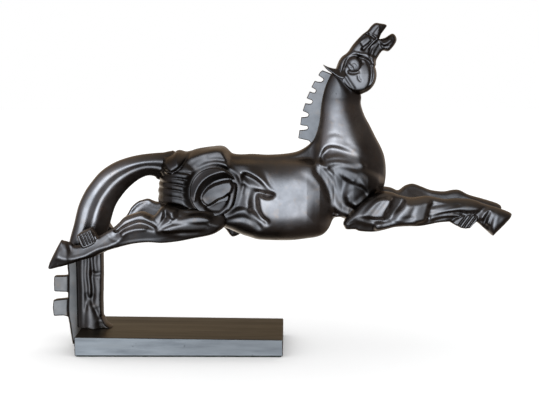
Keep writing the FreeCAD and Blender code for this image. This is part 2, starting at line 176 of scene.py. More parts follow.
def cut(field, b, beyond):
    """Cuts a field flat where the side-view map beyond is positive."""
    return both(field, beyond[:, None, :] + 0 * b.y)


# ---------------------------------------------------------------- from field to mesh
CORNERS = np.array([[i, j, k] for i in (0, 1) for j in (0, 1) for k in (0, 1)])
CELL_EDGES = [(a, c) for a in range(8) for c in range(a + 1, 8) if np.abs(CORNERS[a]
    - CORNERS[c]).sum() == 1]


def surface(field, block):
    """Vertices and quads of the field's zero surface, and the field with a margin of one cell."""
    f = np.pad(field.astype(np.float32), 1, constant_values=2 * block.cell)
    inside = f < 0
    count = np.zeros(tuple(n - 1 for n in f.shape), np.uint8)
    for i, j, k in CORNERS:
        count += inside[i:inside.shape[0] - 1 + i, j:inside.shape[1] - 1 + j,
            k:inside.shape[2] - 1 + k]
    cells = np.argwhere((count > 0) & (count < 8))
    values = np.stack([f[tuple((cells + c).T)] for c in CORNERS], 1)
    total = np.zeros((len(cells), 3))
    hits = np.zeros(len(cells))
    for a, c in CELL_EDGES:
        va, vc = values[:, a], values[:, c]
        cross = (va < 0) != (vc < 0)
        t = np.where(cross, va / np.where(cross, va - vc, 1), 0)
        point = CORNERS[a] + t[:, None] * (CORNERS[c] - CORNERS[a])
        total += point * cross[:, None]
        hits += cross
    verts = cells + total / hits[:, None]
    number = np.full(count.shape, -1, np.int32)
    number[tuple(cells.T)] = np.arange(len(cells))
    quads = []
    for axis in range(3):
        u, v = (axis + 1) % 3, (axis + 2) % 3
        low = [slice(None)] * 3
        high = [slice(None)] * 3
        low[axis] = slice(0, -1)
        high[axis] = slice(1, None)
        a, c = inside[tuple(low)], inside[tuple(high)]
        at = np.argwhere(a != c)
        goes_out = a[tuple(at.T)]
        du = np.eye(3, dtype=int)[u]
        dv = np.eye(3, dtype=int)[v]
        ring = [number[tuple((at - s).T)] for s in (du + dv, dv, 0 * du, du)]
        ring = np.stack(ring, 1)
        ring[~goes_out] = ring[~goes_out][:, ::-1]
        quads.append(ring)
    return verts, np.vstack(quads), f


def sample(f, p):
    """The field and its slope at points given in cells."""
    i = np.clip(np.floor(p).astype(int), 0, np.array(f.shape) - 2)
    t = p - i
    values = {}
    for c in CORNERS:
        values[tuple(c)] = f[tuple((i + c).T)]
    w = [np.stack([1 - t[:, n], t[:, n]]) for n in range(3)]
    total = np.zeros(len(p))
    slope = np.zeros((len(p), 3))
    for (a, c, e), v in values.items():
        total += v * w[0][a] * w[1][c] * w[2][e]
        slope[:, 0] += v * (2 * a - 1) * w[1][c] * w[2][e]
        slope[:, 1] += v * w[0][a] * (2 * c - 1) * w[2][e]
        slope[:, 2] += v * w[0][a] * w[1][c] * (2 * e - 1)
    return total, slope


RELAX_PULL = 0.6         # share of the way to the middle of a vertex's neighbours
RELAX_REACH = 0.6        # longest step back to the surface, in cells


def relax(verts, quads, f, rounds):
    """Evens the mesh and lays it back on the field's surface."""
    n = len(verts)
    a = quads.ravel()
    c = np.roll(quads, -1, axis=1).ravel()
    degree = np.bincount(a, minlength=n) + np.bincount(c, minlength=n)
    for _ in range(rounds):
        mean = np.stack([np.bincount(a, verts[c, m], n) + np.bincount(c, verts[a, m],
            n) for m in range(3)], 1) / degree[:, None]
        verts = verts + RELAX_PULL * (mean - verts)
        value, slope = sample(f, verts)
        steep = np.maximum((slope ** 2).sum(1), 1e-4)
        move = -slope * (value / steep)[:, None]
        length = np.linalg.norm(move, axis=1, keepdims=True)
        verts = verts + move * np.minimum(1, RELAX_REACH / np.maximum(length, 1e-6))
    return verts


def add_casting(name, field, block, rounds=3):
    """Meshes a field and adds it to the scene."""
    verts, quads, f = surface(field, block)
    verts = (relax(verts, quads, f, rounds) - 1) * block.cell + block.low
    mesh = bpy.data.meshes.new(name)
    mesh.vertices.add(len(verts))
    mesh.vertices.foreach_set("co", (verts * MM).astype(np.float32).ravel())
    mesh.loops.add(quads.size)
    mesh.loops.foreach_set("vertex_index", quads.astype(np.int32).ravel())
    mesh.polygons.add(len(quads))
    mesh.polygons.foreach_set("loop_start", np.arange(len(quads), dtype=np.int32) * 4)
    mesh.polygons.foreach_set("use_smooth", np.ones(len(quads), bool))
    mesh.update(calc_edges=True)
    obj = bpy.data.objects.new(name, mesh)
    bpy.context.scene.collection.objects.link(obj)
    return obj


def keep_side(obj, point, normal):
    """Cuts a mesh at a plane, keeps the side the normal points to and closes it there."""
    bm = bmesh.new()
    bm.from_mesh(obj.data)
    geom = bm.verts[:] + bm.edges[:] + bm.faces[:]
    cut = bmesh.ops.bisect_plane(bm, geom=geom, dist=1e-7, plane_co=Vector(point) * MM,
        plane_no=Vector(normal), clear_inner=True)
    rim = [g for g in cut["geom_cut"] if isinstance(g, bmesh.types.BMEdge)]
    filled = bmesh.ops.holes_fill(bm, edges=rim, sides=0)
    for face in filled["faces"]:
        face.smooth = False
    for edge in rim:
        if edge.is_valid:
            edge.smooth = False
    bmesh.ops.triangulate(bm, faces=[f for f in filled["faces"] if f.is_valid])
    bm.to_mesh(obj.data)
    bm.free()


def copy_of(obj, name):
    """A second object with its own mesh."""
    other = bpy.data.objects.new(name, obj.data.copy())
    other.data.name = name
    bpy.context.scene.collection.objects.link(other)
    return other


def mirrored_object(obj, name):
    """The same piece on the other side of the horse."""
    other = copy_of(obj, name)
    other.data.transform(Matrix.Diagonal((1, -1, 1, 1)))
    other.data.flip_normals()
    return other


def finish_piece(obj, material, node):
    """Gives a piece its material, hangs it under the root body and hides the CAD part that it stands
    for.
    """
    obj.data.materials.clear()
    obj.data.materials.append(material)
    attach(obj, "root")
    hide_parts(node)


# ---------------------------------------------------------------- modelling the sides
def rounded(d, half, rim, power=2.0):
    """Side height of a cushion: 0 at its outline, half from the rim inwards."""
    e = np.clip(1 - d / rim, 0, 1)
    return half * (1 - e ** power) ** (1 / power)


def pillow(d, width, height):
    """Rises from 0 at an outline to full height with a quarter-round edge."""
    t = np.clip(d / width, 0, 1)
    return height * np.sqrt(1 - (1 - t) ** 2)


def roll(distance, width, height):
    """A rounded strip with a broad top along a line."""
    return height * np.sqrt(np.maximum(1 - (distance / width) ** 3, 0))


def tent(distance, width, height):
    """A sharp-crested strip along a line."""
    return height * np.maximum(1 - distance / width, 0)


def blend(t, other, share):
    """Turns t into another map where share is 1."""
    return t + (other - t) * share


def over(t, base, strip):
    """Adds a strip that stands on its own base height."""
    return np.where(strip > 0, np.maximum(t, base + strip), t)


def plate(b, t, outline, at, height, along, up, edge=1.2, width=3.0, smooth=True, soft=0.8):
    """Lays a tilted facet over the side heights t.  It has the given height at the point at, rises
    by along towards the head and by up upwards, and drops by edge over the width at its edges."""
    d = b.inside(outline, smooth)
    top = height + along * (b.X - at[0]) + up * (b.Z - at[1]) - edge + pillow(d, width, edge)
    return blend(t, top, ramp(d, soft))


def chase(b, t, *lines):
    """Lays lines over t, each given as points, height (below 0 for a groove) and width."""
    for points, height, width in lines:
        t = t + height * bump(b.off(points), width)
    return t


def soften(t, b, size):
    """Blends a map over a small distance, as modelling in wax does."""
    reach = int(2.5 * size / b.cell) + 1
    weights = np.exp(-0.5 * (np.arange(-reach, reach + 1) * b.cell / size) ** 2)
    weights = (weights / weights.sum()).astype(np.float32)
    for axis in (0, 1):
        pad = [(0, 0), (0, 0)]
        pad[axis] = (reach, reach)
        wide = np.pad(t, pad, mode="edge")
        n = t.shape[axis]
        t = sum(w * wide.take(range(i, i + n), axis) for i, w in enumerate(weights))
    return t


FULL_HEIGHT = 60.0       # more than any casting reaches to the side, in mm


def casting(b, d, mid, half, rim, side, power=2.0, edge=4.0, soft=1.0):
    """The field of a casting from its outline distance and its side heights, softened by soft."""
    side = np.minimum(side, rounded(d, FULL_HEIGHT, edge))
    relief = soften(side - rounded(d, half, rim, power), b, soft)
    return cushion(b, d, mid, half, rim, relief=relief, power=power)


# ---------------------------------------------------------------- trunk and neck
# the trunk and the neck up to the head, clockwise from the tail's root
BODY_OUTLINE = [(-22, 248), (-12, 249), (-3, 254), (6, 252), (12, 253), (22, 256), (37, 258),
    (52, 258.5), (60, 255), (66, 250), (76, 248.5), (92, 249), (110, 248), (130, 249), (146, 251.5),
    (157, 256.5), (165, 263), (171, 272), (176, 290), (178, 310), (182, 330), (188, 345), (194, 352),
    (208, 350), (222, 338), (229, 323), (228.5, 312), (233, 298), (240, 285), (247, 271), (254, 258),
    (258.5, 246), (260.5, 232), (260, 216), (256, 202), (246, 188), (232, 172), (212, 166),
    (200, 170), (194, 166), (189, 155), (182, 147), (172, 143), (158, 141), (140, 139), (118, 139),
    (99, 140), (88, 143), (74, 148), (56, 156), (36, 161), (10, 162), (-8, 166), (-20, 174),
    (-27, 184), (-29, 192), (-28.1, 198), (-29, 203), (-27.6, 207.8), (-28, 212), (-26.5, 216),
    (-27, 220.5), (-25, 224.5), (-27, 229), (-26, 236)]
SCROLL_AT = (45.0, 205.0)                # centre of the round boss on the haunch


def rump(b, t):
    """Five rolls across the rump and the flap at the tail's root."""
    rolls = np.zeros_like(t)
    for line, width in (([(-30, 228), (-12, 226), (2, 225.5), (12, 224), (22, 220.5)], 4.0),
            ([(-30, 220), (-16, 219), (-4, 218.5), (8, 216.5), (19, 212)], 4.0),
            ([(-32, 212), (-20, 211.5), (-8, 211), (5, 209), (16, 204.5)], 4.0),
            ([(-34, 203), (-22, 203), (-8, 202.5), (4, 201), (14, 197)], 4.8),
            ([(-34, 193), (-22, 193.5), (-8, 194), (3, 192.5), (13, 189)], 5.2)):
        rolls = np.maximum(rolls, roll(b.off(line), width, 4.4))
    zone = b.inside([(-40, 231), (-10, 230.5), (6, 229.5), (23, 226), (26, 206), (24, 186),
        (-40, 184)])
    t = t + (rolls - 2.7) * ramp(zone, 1.4) * ramp(b.away(*SCROLL_AT) - 38, 3)
    flap = b.inside([(-18, 229), (-18, 240), (-13, 249), (-4, 258), (6, 262), (13, 257), (11, 249),
        (7, 243), (2, 236), (-4, 231.5), (-11, 227)])
    return t + pillow(flap, 7, 5.0) - 2.0 * bump(flap + 1.5, 1.6)


def haunch(b, t):
    """The boxy croup over the scroll, the hip leaf, the flank and the roll of the stifle."""
    t = plate(b, t, [(11, 246), (22, 252), (36, 257), (50, 259), (58, 256), (62, 248), (64, 243),
        (57, 243.5), (48, 244), (38, 241.5), (28, 237), (20, 232.5), (14, 237)],
        (42, 248), 37.0, 0.10, -0.24, 3.6, 7.0)
    t = chase(b, t, ([(14, 240), (24, 244.5), (34, 247)], -1.6, 4.0))
    t = plate(b, t, [(19, 230.5), (28, 236), (38, 240.4), (48, 243), (57, 242.6), (63, 240.5),
        (64, 235), (57, 232.5), (48, 232), (38, 229), (29, 223), (20, 214), (15, 222)],
        (45, 236), 40.0, 0.08, -0.14, 1.6, 3.0)
    t = chase(b, t, ([(59, 257), (62, 249), (66, 242), (72, 236), (79, 231)], -5.0, 2.6),
        ([(25, 238), (34, 242.5), (44, 245), (56, 244.5)], -1.4, 1.5))
    # hip leaf: it rises to its lower edge, and its root turns to the light
    lower = [(75, 230), (86, 228), (96, 224), (104, 218.5), (111, 211.5), (121, 204)]
    ridge = b.along((75, 37.5), (88, 41.5), (98, 43.8), (110, 45.2), (121, 46.5))
    right = ridge - 0.80 * b.off(lower)
    left = 37.5 + 0.34 * (b.X - 80) - 0.34 * (b.Z - 236)
    root = ramp(88 - b.X, 13)
    leaf = b.inside([(66, 243.5), (72, 241), (80, 242), (91, 241.5), (100, 238.5), (107, 231.5),
        (112.5, 222), (117, 213), (122, 203.5), (114, 207), (108, 213.5), (102, 219), (93, 224),
        (84, 227.5), (76, 229.5), (69, 235)])
    t = blend(t, left * root + right * (1 - root), ramp(leaf, 1.8))
    t = plate(b, t, [(81, 227), (90, 225.5), (98, 221), (105, 215), (111, 208.5), (118, 203.5),
        (110, 202), (102, 206), (94, 209), (86, 211), (79.5, 214)],
        (92, 216), 37.6, 0.05, -0.50, 0.0, 3.0, soft=2.0)
    # flank: a hollow channel behind the ribs and the small plate next to it
    t = plate(b, t, [(87, 213), (96, 208.5), (104, 205.5), (112, 202.8), (118, 201.5), (111, 199.3),
        (105, 201.2), (99.3, 201), (98.6, 193), (100.3, 182), (104.3, 173.5), (111, 167), (104, 162),
        (97, 168), (90, 177), (87, 186), (86, 198)], (93, 190), 36.0, -0.36, 0.05, 0.0, 3.0, soft=3.4)
    t = plate(b, t, [(79.5, 214), (86.5, 212), (88.5, 203), (87.5, 192), (88.5, 184.5), (80, 185),
        (71, 183.5), (73.5, 191), (76.5, 200), (78.5, 207)],
        (81, 196), 37.0, 0.45, -0.20, 1.2, 3.5, soft=1.6)
    t = t + roll(b.off([(81.5, 223), (84.5, 213), (82.5, 203)]), 1.7, 2.0)
    # stifle: a bright roll that crosses under the flank
    stifle = b.off([(66, 177), (72, 179.5), (79, 181), (86, 180), (92.5, 176), (99, 170.5),
        (107, 163)])
    t = over(t, 31 - 20 * ramp(60 - b.X, 3), roll(stifle, 6.2, 8.5))
    t = chase(b, t, ([(62, 170), (72, 172), (82, 172.5), (92, 168), (101, 160)], -3.0, 3.2),
        ([(70, 185), (79, 187), (88, 185), (96, 179), (103, 171)], -2.0, 1.3))
    # a flat seat for the scroll
    return blend(t, np.minimum(t, 36.0), ramp(34.5 - b.away(*SCROLL_AT), 2.2))


def barrel(b, t):
    """Bulging ribs with a full round front edge, and the ridge of the spine."""
    front = b.inside([(-60, 262), (140, 262), (156, 249), (170, 238), (180, 227), (187, 213),
        (191.5, 198), (194, 184), (193, 168), (187, 154), (176, 138), (-60, 120)])
    near = ramp(front + 3, 2) * ramp(b.X - 103, 7)
    t = blend(t, join(t, 31.5 + pillow(front, 31, 15.0), 4.0), near)
    spine = ramp(b.Z - 241.5, 1.6) * ramp(b.X - 66, 4) * ramp(172 - b.X, 7)
    flat = b.along((66, 0.75), (105, 0.62), (140, 0.30), (165, 0.45))
    t = blend(t, join(t, 16.0 + flat * (245 - b.Z), 2.0), spine)
    return chase(b, t, ([(154, 226), (163, 221), (171, 213)], -0.7, 4.5),
        ([(117, 202), (120, 197), (127, 195)], -0.7, 3.0),
        ([(108, 176), (126, 173), (146, 174)], 0.5, 7.0))


def neck(b, t, share):
    """A broad lit plane from the mane to a crest line, in front of which the throat turns away.
    share is 1 on the neck and 0 on the trunk."""
    crest = b.level((228, 232), (250, 228), (262, 223.5), (275, 219), (290, 214), (305, 209),
        (320, 207), (345, 210))
    back = b.level((240, 189), (262, 186), (285, 188), (305, 194), (345, 200))
    height = b.level((215, 37), (240, 36), (262, 33.6), (285, 29.2), (302, 25.6), (322, 20.2),
        (352, 18))
    ahead = b.X - crest + 1
    behind = back - b.X
    top = height - 0.43 * (ahead + np.sqrt(ahead ** 2 + 50))
    top = top - 0.12 * (behind + np.sqrt(behind ** 2 + 60))
    t = blend(t, join(t, top + 1.5, 11.0), share)
    t = chase(b, t, ([(186, 269), (192, 272.5), (198, 272.5), (204, 269)], 0.5, 2.8),
        ([(189, 275.5), (196, 276.5), (202, 274)], -0.7, 1.8),
        ([(200, 270), (212, 264), (222, 256)], -0.5, 3.0))
    # strap of the throat latch and the hollow behind the jaw
    t = t + roll(b.off([(204, 347), (210, 341), (219, 329.5)]), 1.8, 2.2)
    return chase(b, t, ([(200, 346), (206, 338), (214, 327)], -1.8, 1.6),
        ([(207, 350), (214, 343), (224, 330)], -3.0, 2.6))


def shoulder(b, t):
    """Window under the neck, straps, the bright plate, the cap and the ball of the shoulder."""
    t = plate(b, t, [(183, 232), (190, 230), (199, 225.5), (208, 220.5), (210, 212), (207.5, 204),
        (207.5, 195), (211, 188), (222, 184), (224, 178), (214, 179), (203, 182), (197, 190),
        (193.5, 200), (189.5, 211), (184, 221)], (197, 208), 35.5, -0.20, 0.04, 0.0, 3.0, soft=2.4)
    # cap over the joint
    cap = b.inside([(217, 229), (229, 232.5), (240, 229.5), (251, 223), (262, 214), (264, 204),
        (252, 201), (244, 206), (236, 202), (230, 208), (224, 211.5), (218, 217)])
    t = blend(t, join(t + 4, 34.5 + pillow(cap, 13, 6.0) - 0.42 * (b.X - 235), 2.0), ramp(cap, 2.6))
    t = plate(b, t, [(186.5, 233), (190, 236.5), (200, 237.5), (210, 235), (221, 231), (225, 226.5),
        (221.5, 220), (217.5, 216), (213, 218), (207, 221), (198, 226.5)],
        (205, 229), 37.6, 0.17, -0.11, 1.2, 2.6, smooth=False, soft=2.4)
    # ball in its socket: the socket's rear lip catches the light
    ring = b.away(221.5, 199)
    ball = 33.5 - 0.24 * (b.X - 221.5) + 0.10 * (b.Z - 199)
    ball = ball + 5.0 * np.sqrt(np.maximum(1 - (ring / 13) ** 2, 0))
    t = blend(t, ball, ramp(13.5 - ring, 1.8))
    t = chase(b, t, ([(216, 217), (211.5, 212), (208.5, 205), (208.5, 197), (212, 190.5),
        (220, 186.5)], 2.4, 3.4))
    for x, z in ((211, 204), (209.8, 195), (214.5, 189)):
        t = t - 1.8 * bump(b.away(x, z), 2.4)
    t = plate(b, t, [(211, 216.5), (217, 215), (221, 211), (218, 209.5), (212, 206), (209.5, 209)],
        (214, 212), 37.5, 0.20, -0.1, 0.8, 1.6, smooth=False, soft=1.4)
    t = chase(b, t, ([(226, 221), (229.5, 216), (232, 211)], 1.4, 2.0))
    # straps: one rises from the armpit behind the ball, one lies over the forearm's root
    t = chase(b, t, ([(222, 187), (232, 194.5), (244.5, 205)], 3.6, 3.0),
        ([(226, 184), (236, 191), (249, 202)], -2.4, 2.4),
        ([(224, 196), (232, 202), (238, 208)], -1.2, 2.4),
        ([(228, 236), (238, 231), (250, 224), (262, 213)], -2.0, 2.6))
    strap = b.off([(176, 232), (181, 225.5), (186.5, 217), (190.5, 207), (194, 196), (198, 187.5),
        (204, 181.5), (211, 179), (219, 175.5), (229, 168.5)])
    band = 33.0 + 1.4 * bump(strap, 4.8) - 0.10 * (b.X - 195)
    t = blend(t, band, ramp(6.5 - strap, 3.0))
    t = over(t, 24.0, roll(b.off([(197, 173.5), (206, 174), (216, 172), (226, 166.5)]), 3.8, 4.5))
    # window with two straps across its foot
    window = b.inside([(176.5, 244), (179, 252), (184, 258), (189.5, 260.4), (198, 259.6),
        (207, 256.6), (216, 253), (223.5, 249), (229, 241.5), (233, 235.5), (222, 236.5), (208, 239),
        (196, 240), (184, 238)])
    deep = 29.0 - 0.42 * (b.Z - 249) - 0.55 * np.maximum(191 - b.X, 0) + 0.04 * (b.X - 205)
    t = blend(t, deep + 1.8, ramp(window, 2.6))
    for line, base in (([(183, 245), (199, 246.5), (212, 243.5), (224, 239), (230, 234.5)], 29.8),
            ([(184, 239), (198, 240.5), (212, 238), (228, 232)], 33.0)):
        t = over(t, base - 20 * ramp(181 - b.X, 2), roll(b.off(line), 3.2, 3.2))
    return over(t, 27.0, roll(b.away(179, 239), 3.2, 4.0))


def sculpt_trunk():
    """Trunk and neck as one body, cut into four castings at its seams."""
    b = Block((-34, -52, 130), (266, 52, 357), 0.85)
    d = b.inside(BODY_OUTLINE)
    share = ramp(b.Z - 252 + 0.2727 * (b.X - 150), 9) * ramp(b.X - 152, 8)      # 1 on the neck
    trunk_half = b.along((-30, 20), (-20, 30), (-8, 36.5), (6, 39.5), (30, 41.5), (60, 41.5),
        (85, 42), (100, 44), (125, 45.5), (160, 45.5), (176, 43.5), (186, 39.5), (194, 35), (204, 34),
        (218, 36), (236, 36), (250, 31), (262, 20))
    neck_half = b.level((215, 37), (240, 36), (262, 33.6), (290, 28), (320, 21.5), (352, 18))
    trunk_rim = b.along((-28, 26), (10, 28), (60, 28), (88, 40), (112, 46), (170, 46), (200, 36),
        (262, 34))
    neck_rim = b.level((240, 38), (262, 34), (300, 26), (350, 21))
    half = trunk_half * (1 - share) + neck_half * share
    rim = trunk_rim * (1 - share) + neck_rim * share
    t = rounded(d, half, rim, 2.2)
    t = neck(b, t, share)
    t = barrel(b, t)
    t = shoulder(b, t)
    t = haunch(b, t)
    base = rounded(d, half, rim, 2.2)
    t = rump(b, base + soften(t - base, b, 1.7))
    field = casting(b, d, 0, half, rim, t, power=2.2, edge=5.0, soft=0.7)
    whole = add_casting("trunk_and_neck", field, b)

    withers, throat = (140, 0, 266), (262, 0, 222)      # ends of the neck's seam
    flank, girth = (88, 0, 200), (190, 0, 200)          # on the seams behind and before the barrel
    ahead, behind = (1, 0, 0), (-1, 0, 0)
    seam = (Vector(throat) - Vector(withers)).normalized()
    up, down = (-seam.z, 0, seam.x), (seam.z, 0, -seam.x)
    pieces = {}
    for name, cuts in (("neck_bronze", [(withers, up)]), ("hindquarters_bronze", [(flank, behind)]),
            ("barrel_bronze", [(flank, ahead), (girth, behind), (withers, down)]),
            ("chest_bronze", [(girth, ahead), (withers, down)])):
        piece = copy_of(whole, name)
        for point, normal in cuts:
            keep_side(piece, point, normal)
        pieces[name] = piece
    bpy.data.objects.remove(whole)
    return pieces


def sculpt_scroll():
    """The round boss on the haunch: a spiral ridge round a sharp-edged leaf with a hooked bite."""
    b = Block((8, -54, 168), (82, -24, 242), 0.6)
    d = 32.0 - b.away(*SCROLL_AT)
    t = 35.5 - 0.05 * (b.X - 45) + 0 * b.Z
    crest = b.off([(70, 230), (60, 231), (50, 229.5), (40, 226), (31, 219.5), (25, 211.5),
        (21.5, 203), (20.5, 195)])
    t = over(t, 34.5, tent(crest, 11.0, 9.5))
    sweep = b.off([(20, 196), (23, 188), (30, 182), (40, 178.5), (50, 176)])
    t = over(t, 35.5, roll(sweep, 7.5, 6.5))
    t = plate(b, t, [(34, 186), (44, 189.5), (52, 194), (58, 196.8), (62, 191), (61, 185.5),
        (55, 182), (47, 180.5), (39, 181.5)], (50, 188), 37.5, 0.06, -0.34, 1.0, 3.0)
    hook = b.off([(69, 212), (68, 203), (66, 194), (63, 187), (57.5, 181), (49, 175.5)])
    t = over(t, 36.5, roll(hook, 4.4, 5.2))
    leaf = [(28, 196.5), (31, 202.5), (37, 209.3), (46, 214.8), (56, 218), (66, 219.3), (68.5, 212),
        (66, 205), (60, 200), (57, 198), (50, 195.5), (44, 191.5), (37.5, 187.3), (32, 190)]
    within = b.inside(leaf, smooth=False)
    face = 44.5 - 0.006 * ((b.X - 60) ** 2 + (b.Z - 206) ** 2)
    t = blend(t, face, ramp(within, 1.0))
    t = t + 0.5 * bump(within - 1.6, 1.3)
    t = chase(b, t, ([(36, 197), (46, 203), (57, 206)], -0.7, 5.0),
        ([(48, 172), (55, 176.5), (61, 181)], -2.0, 1.8))
    field = casting(b, d, 0, 44.0, 7.0, t, power=2.4, edge=3.5, soft=1.0)
    field = both(field, b.y + 27 + 0 * field)      # only the horse's right side
    right = add_casting("haunch_scroll_right_bronze", field, b)
    return right, mirrored_object(right, "haunch_scroll_left_bronze")


# ---------------------------------------------------------------- legs
# Outlines of the near and the far leg, and the crest line between the two planes of a leg's side.
# The far leg shares the near leg's side, moved to its own place.
HIND_NEAR = [(-166, 108.5), (-153, 109), (-138, 113), (-123, 118), (-108, 122), (-98, 127),
    (-88, 131), (-78, 134), (-58, 139), (-38, 141), (-21, 140), (-1, 142), (19, 146), (39, 150),
    (50, 155), (58, 162), (60, 172), (52, 180), (30, 184), (7, 185), (-1, 187), (-11, 188),
    (-21, 186), (-28, 178), (-32, 174.5), (-38, 177), (-46, 180), (-58, 177), (-68, 173), (-75, 166),
    (-83, 159), (-93, 153), (-102, 147.5), (-110, 143), (-120, 138), (-131, 136.5), (-136, 140),
    (-146, 143), (-150, 141)]
HIND_CREST = [(-168, 126), (-154, 125), (-144, 121.5), (-130, 121), (-118, 124.5), (-108, 130),
    (-100, 133.8), (-88, 137.5), (-78, 142), (-70, 149), (-62, 154), (-52, 157), (-40, 158),
    (-30, 157), (-22, 159), (-12, 164), (0, 167), (18, 168), (38, 167), (60, 160)]
HIND_FAR = [(-143, 104), (-130, 106), (-118, 111), (-105, 117), (-90, 126), (-74, 137), (-60, 143),
    (-40, 147), (-12, 147), (16, 148), (36, 150), (50, 152), (56, 147), (60, 141), (63.5, 138),
    (69, 139), (75, 143), (82, 152), (78, 164), (60, 176), (30, 186), (0, 190), (-20, 188),
    (-34, 184), (-45, 188), (-52, 187), (-60, 184), (-68, 177), (-74, 167), (-82, 157), (-92, 149),
    (-102, 141), (-114, 133), (-121, 135), (-128, 134)]


def crest_planes(b, height, crest, above, below):
    """Two planes that fall away from a crest line, as on a chiselled limb."""
    xs, zs = zip(*crest)
    line = np.interp(b.X, xs, zs)
    return height - above * np.maximum(b.Z - line, 0) - below * np.maximum(line - b.Z, 0)


def hair(b, start, end, count, width, depth, lean):
    """Parallel chisel cuts that stand for a tuft of hair."""
    r = np.zeros_like(b.X)
    for i in range(count):
        t = i / (count - 1)
        x = start[0] + (end[0] - start[0]) * t
        z = start[1] + (end[1] - start[1]) * t
        r -= depth * bump(b.off([(x, z), (x + lean[0], z + lean[1])], smooth=False), width)
    return r


def two_faced(b, mid, outer, inner):
    """A limb whose outer side differs from the side turned to the other leg."""
    return np.where((b.y - mid) * math.copysign(1, mid) > 0, outer, inner)


def hind_side(b):
    """Side heights of a hind leg: cannon, gaskin, knee, thigh and hoof."""
    height = b.along((-166, 9), (-152, 12), (-140, 11.5), (-128, 10.5), (-100, 11), (-86, 12.5),
        (-66, 14.5), (-48, 16), (-30, 16), (-14, 18.5), (10, 21), (40, 20.5), (58, 15), (80, 9))
    above = b.along((-150, 0.34), (-84, 0.30), (-66, 0.34), (-30, 0.34), (-10, 0.46), (40, 0.55))
    below = b.along((-150, 0.48), (-84, 0.55), (-60, 0.42), (-30, 0.42), (0, 0.55), (40, 0.60))
    t = crest_planes(b, height, HIND_CREST, above, below)
    t = chase(b, t, (HIND_CREST[1:9], 0.9, 2.4))
    # gaskin: a lit band over a dark fold, and a lit bar with a crisp lower edge
    t = plate(b, t, [(-81, 158), (-75, 166), (-64, 174), (-50, 181), (-40, 179), (-32, 173.5),
        (-25, 165), (-24.5, 161), (-32, 164.5), (-41, 168.3), (-49, 169.5), (-60, 165.5),
        (-70, 160.5), (-76, 156)], (-52, 172), 16.0, 0.05, -0.22, 1.4, 3.5)
    t = chase(b, t, ([(-77, 154.5), (-68, 160), (-58, 164.2), (-48, 166.4), (-38, 164.2),
        (-28, 159)], -1.6, 3.0))
    t = plate(b, t, [(-70.5, 149.5), (-62, 154.5), (-52, 157.6), (-41, 158.6), (-39, 161),
        (-51, 161.6), (-61, 159.4), (-70, 155.5)],
        (-54, 158.5), 17.2, 0.10, -0.10, 0.7, 1.4, soft=1.0)
    # knee: a wedge with a lit rear face and the forked ridge of the thigh
    t = plate(b, t, [(-34, 175), (-26, 182), (-17, 190), (-11, 190), (-12, 178), (-15.5, 170),
        (-22, 162.5), (-27, 167)], (-20, 176), 16.0, -0.55, 0.0, 1.0, 2.5)
    t = plate(b, t, [(-31, 172.5), (-25.5, 178.5), (-19.5, 185.5), (-17.5, 179), (-19.5, 172),
        (-23.5, 166.5)], (-23, 176), 17.0, 0.30, -0.12, 0.8, 1.8)
    t = over(t, height - 3.0, tent(b.off([(-7, 186), (-7.5, 179), (-5.5, 173)]), 6.5, 6.0))
    t = over(t, height - 3.0, tent(b.off([(-5, 172), (-11, 168.5), (-18, 164.5),
        (-25, 158)]), 6.0, 4.6))
    t = plate(b, t, [(-8, 171.5), (-1, 173), (7, 174), (17, 177.5), (28, 178), (37, 175.5), (42, 171),
        (34, 168.3), (22, 167.5), (8, 167), (-5, 166)], (18, 171.5), 22.0, 0.14, -0.10, 1.4, 6.0)
    t = plate(b, t, [(-20, 158.5), (-8, 164.5), (8, 166.6), (22, 167.2), (34, 167), (38, 163),
        (32, 158.5), (18, 157), (4, 157), (-10, 156)], (10, 163), 20.4, -0.10, 0.30, 1.0, 3.0)
    t = chase(b, t, ([(-22, 157), (-8, 153), (8, 150.5), (24, 152)], 1.2, 3.0),
        ([(2, 187), (8, 181), (20, 180), (36, 180), (48, 176)], -2.4, 3.0),
        ([(-86, 147.5), (-80, 145), (-75, 146)], -1.3, 1.3),
        ([(-89, 151.5), (-83, 149), (-78, 150)], -1.0, 1.3),
        ([(-142, 145), (-137.5, 138), (-135.5, 130)], -2.0, 2.4))
    hoof = b.inside([(-176, 100), (-137, 107), (-139, 121), (-137.5, 130), (-140.5, 139),
        (-150, 150)], smooth=False)
    t = t + 1.4 * ramp(hoof, 1.4)
    return chase(b, t, ([(-158, 127), (-150, 135), (-146, 142)], -1.1, 3.0))


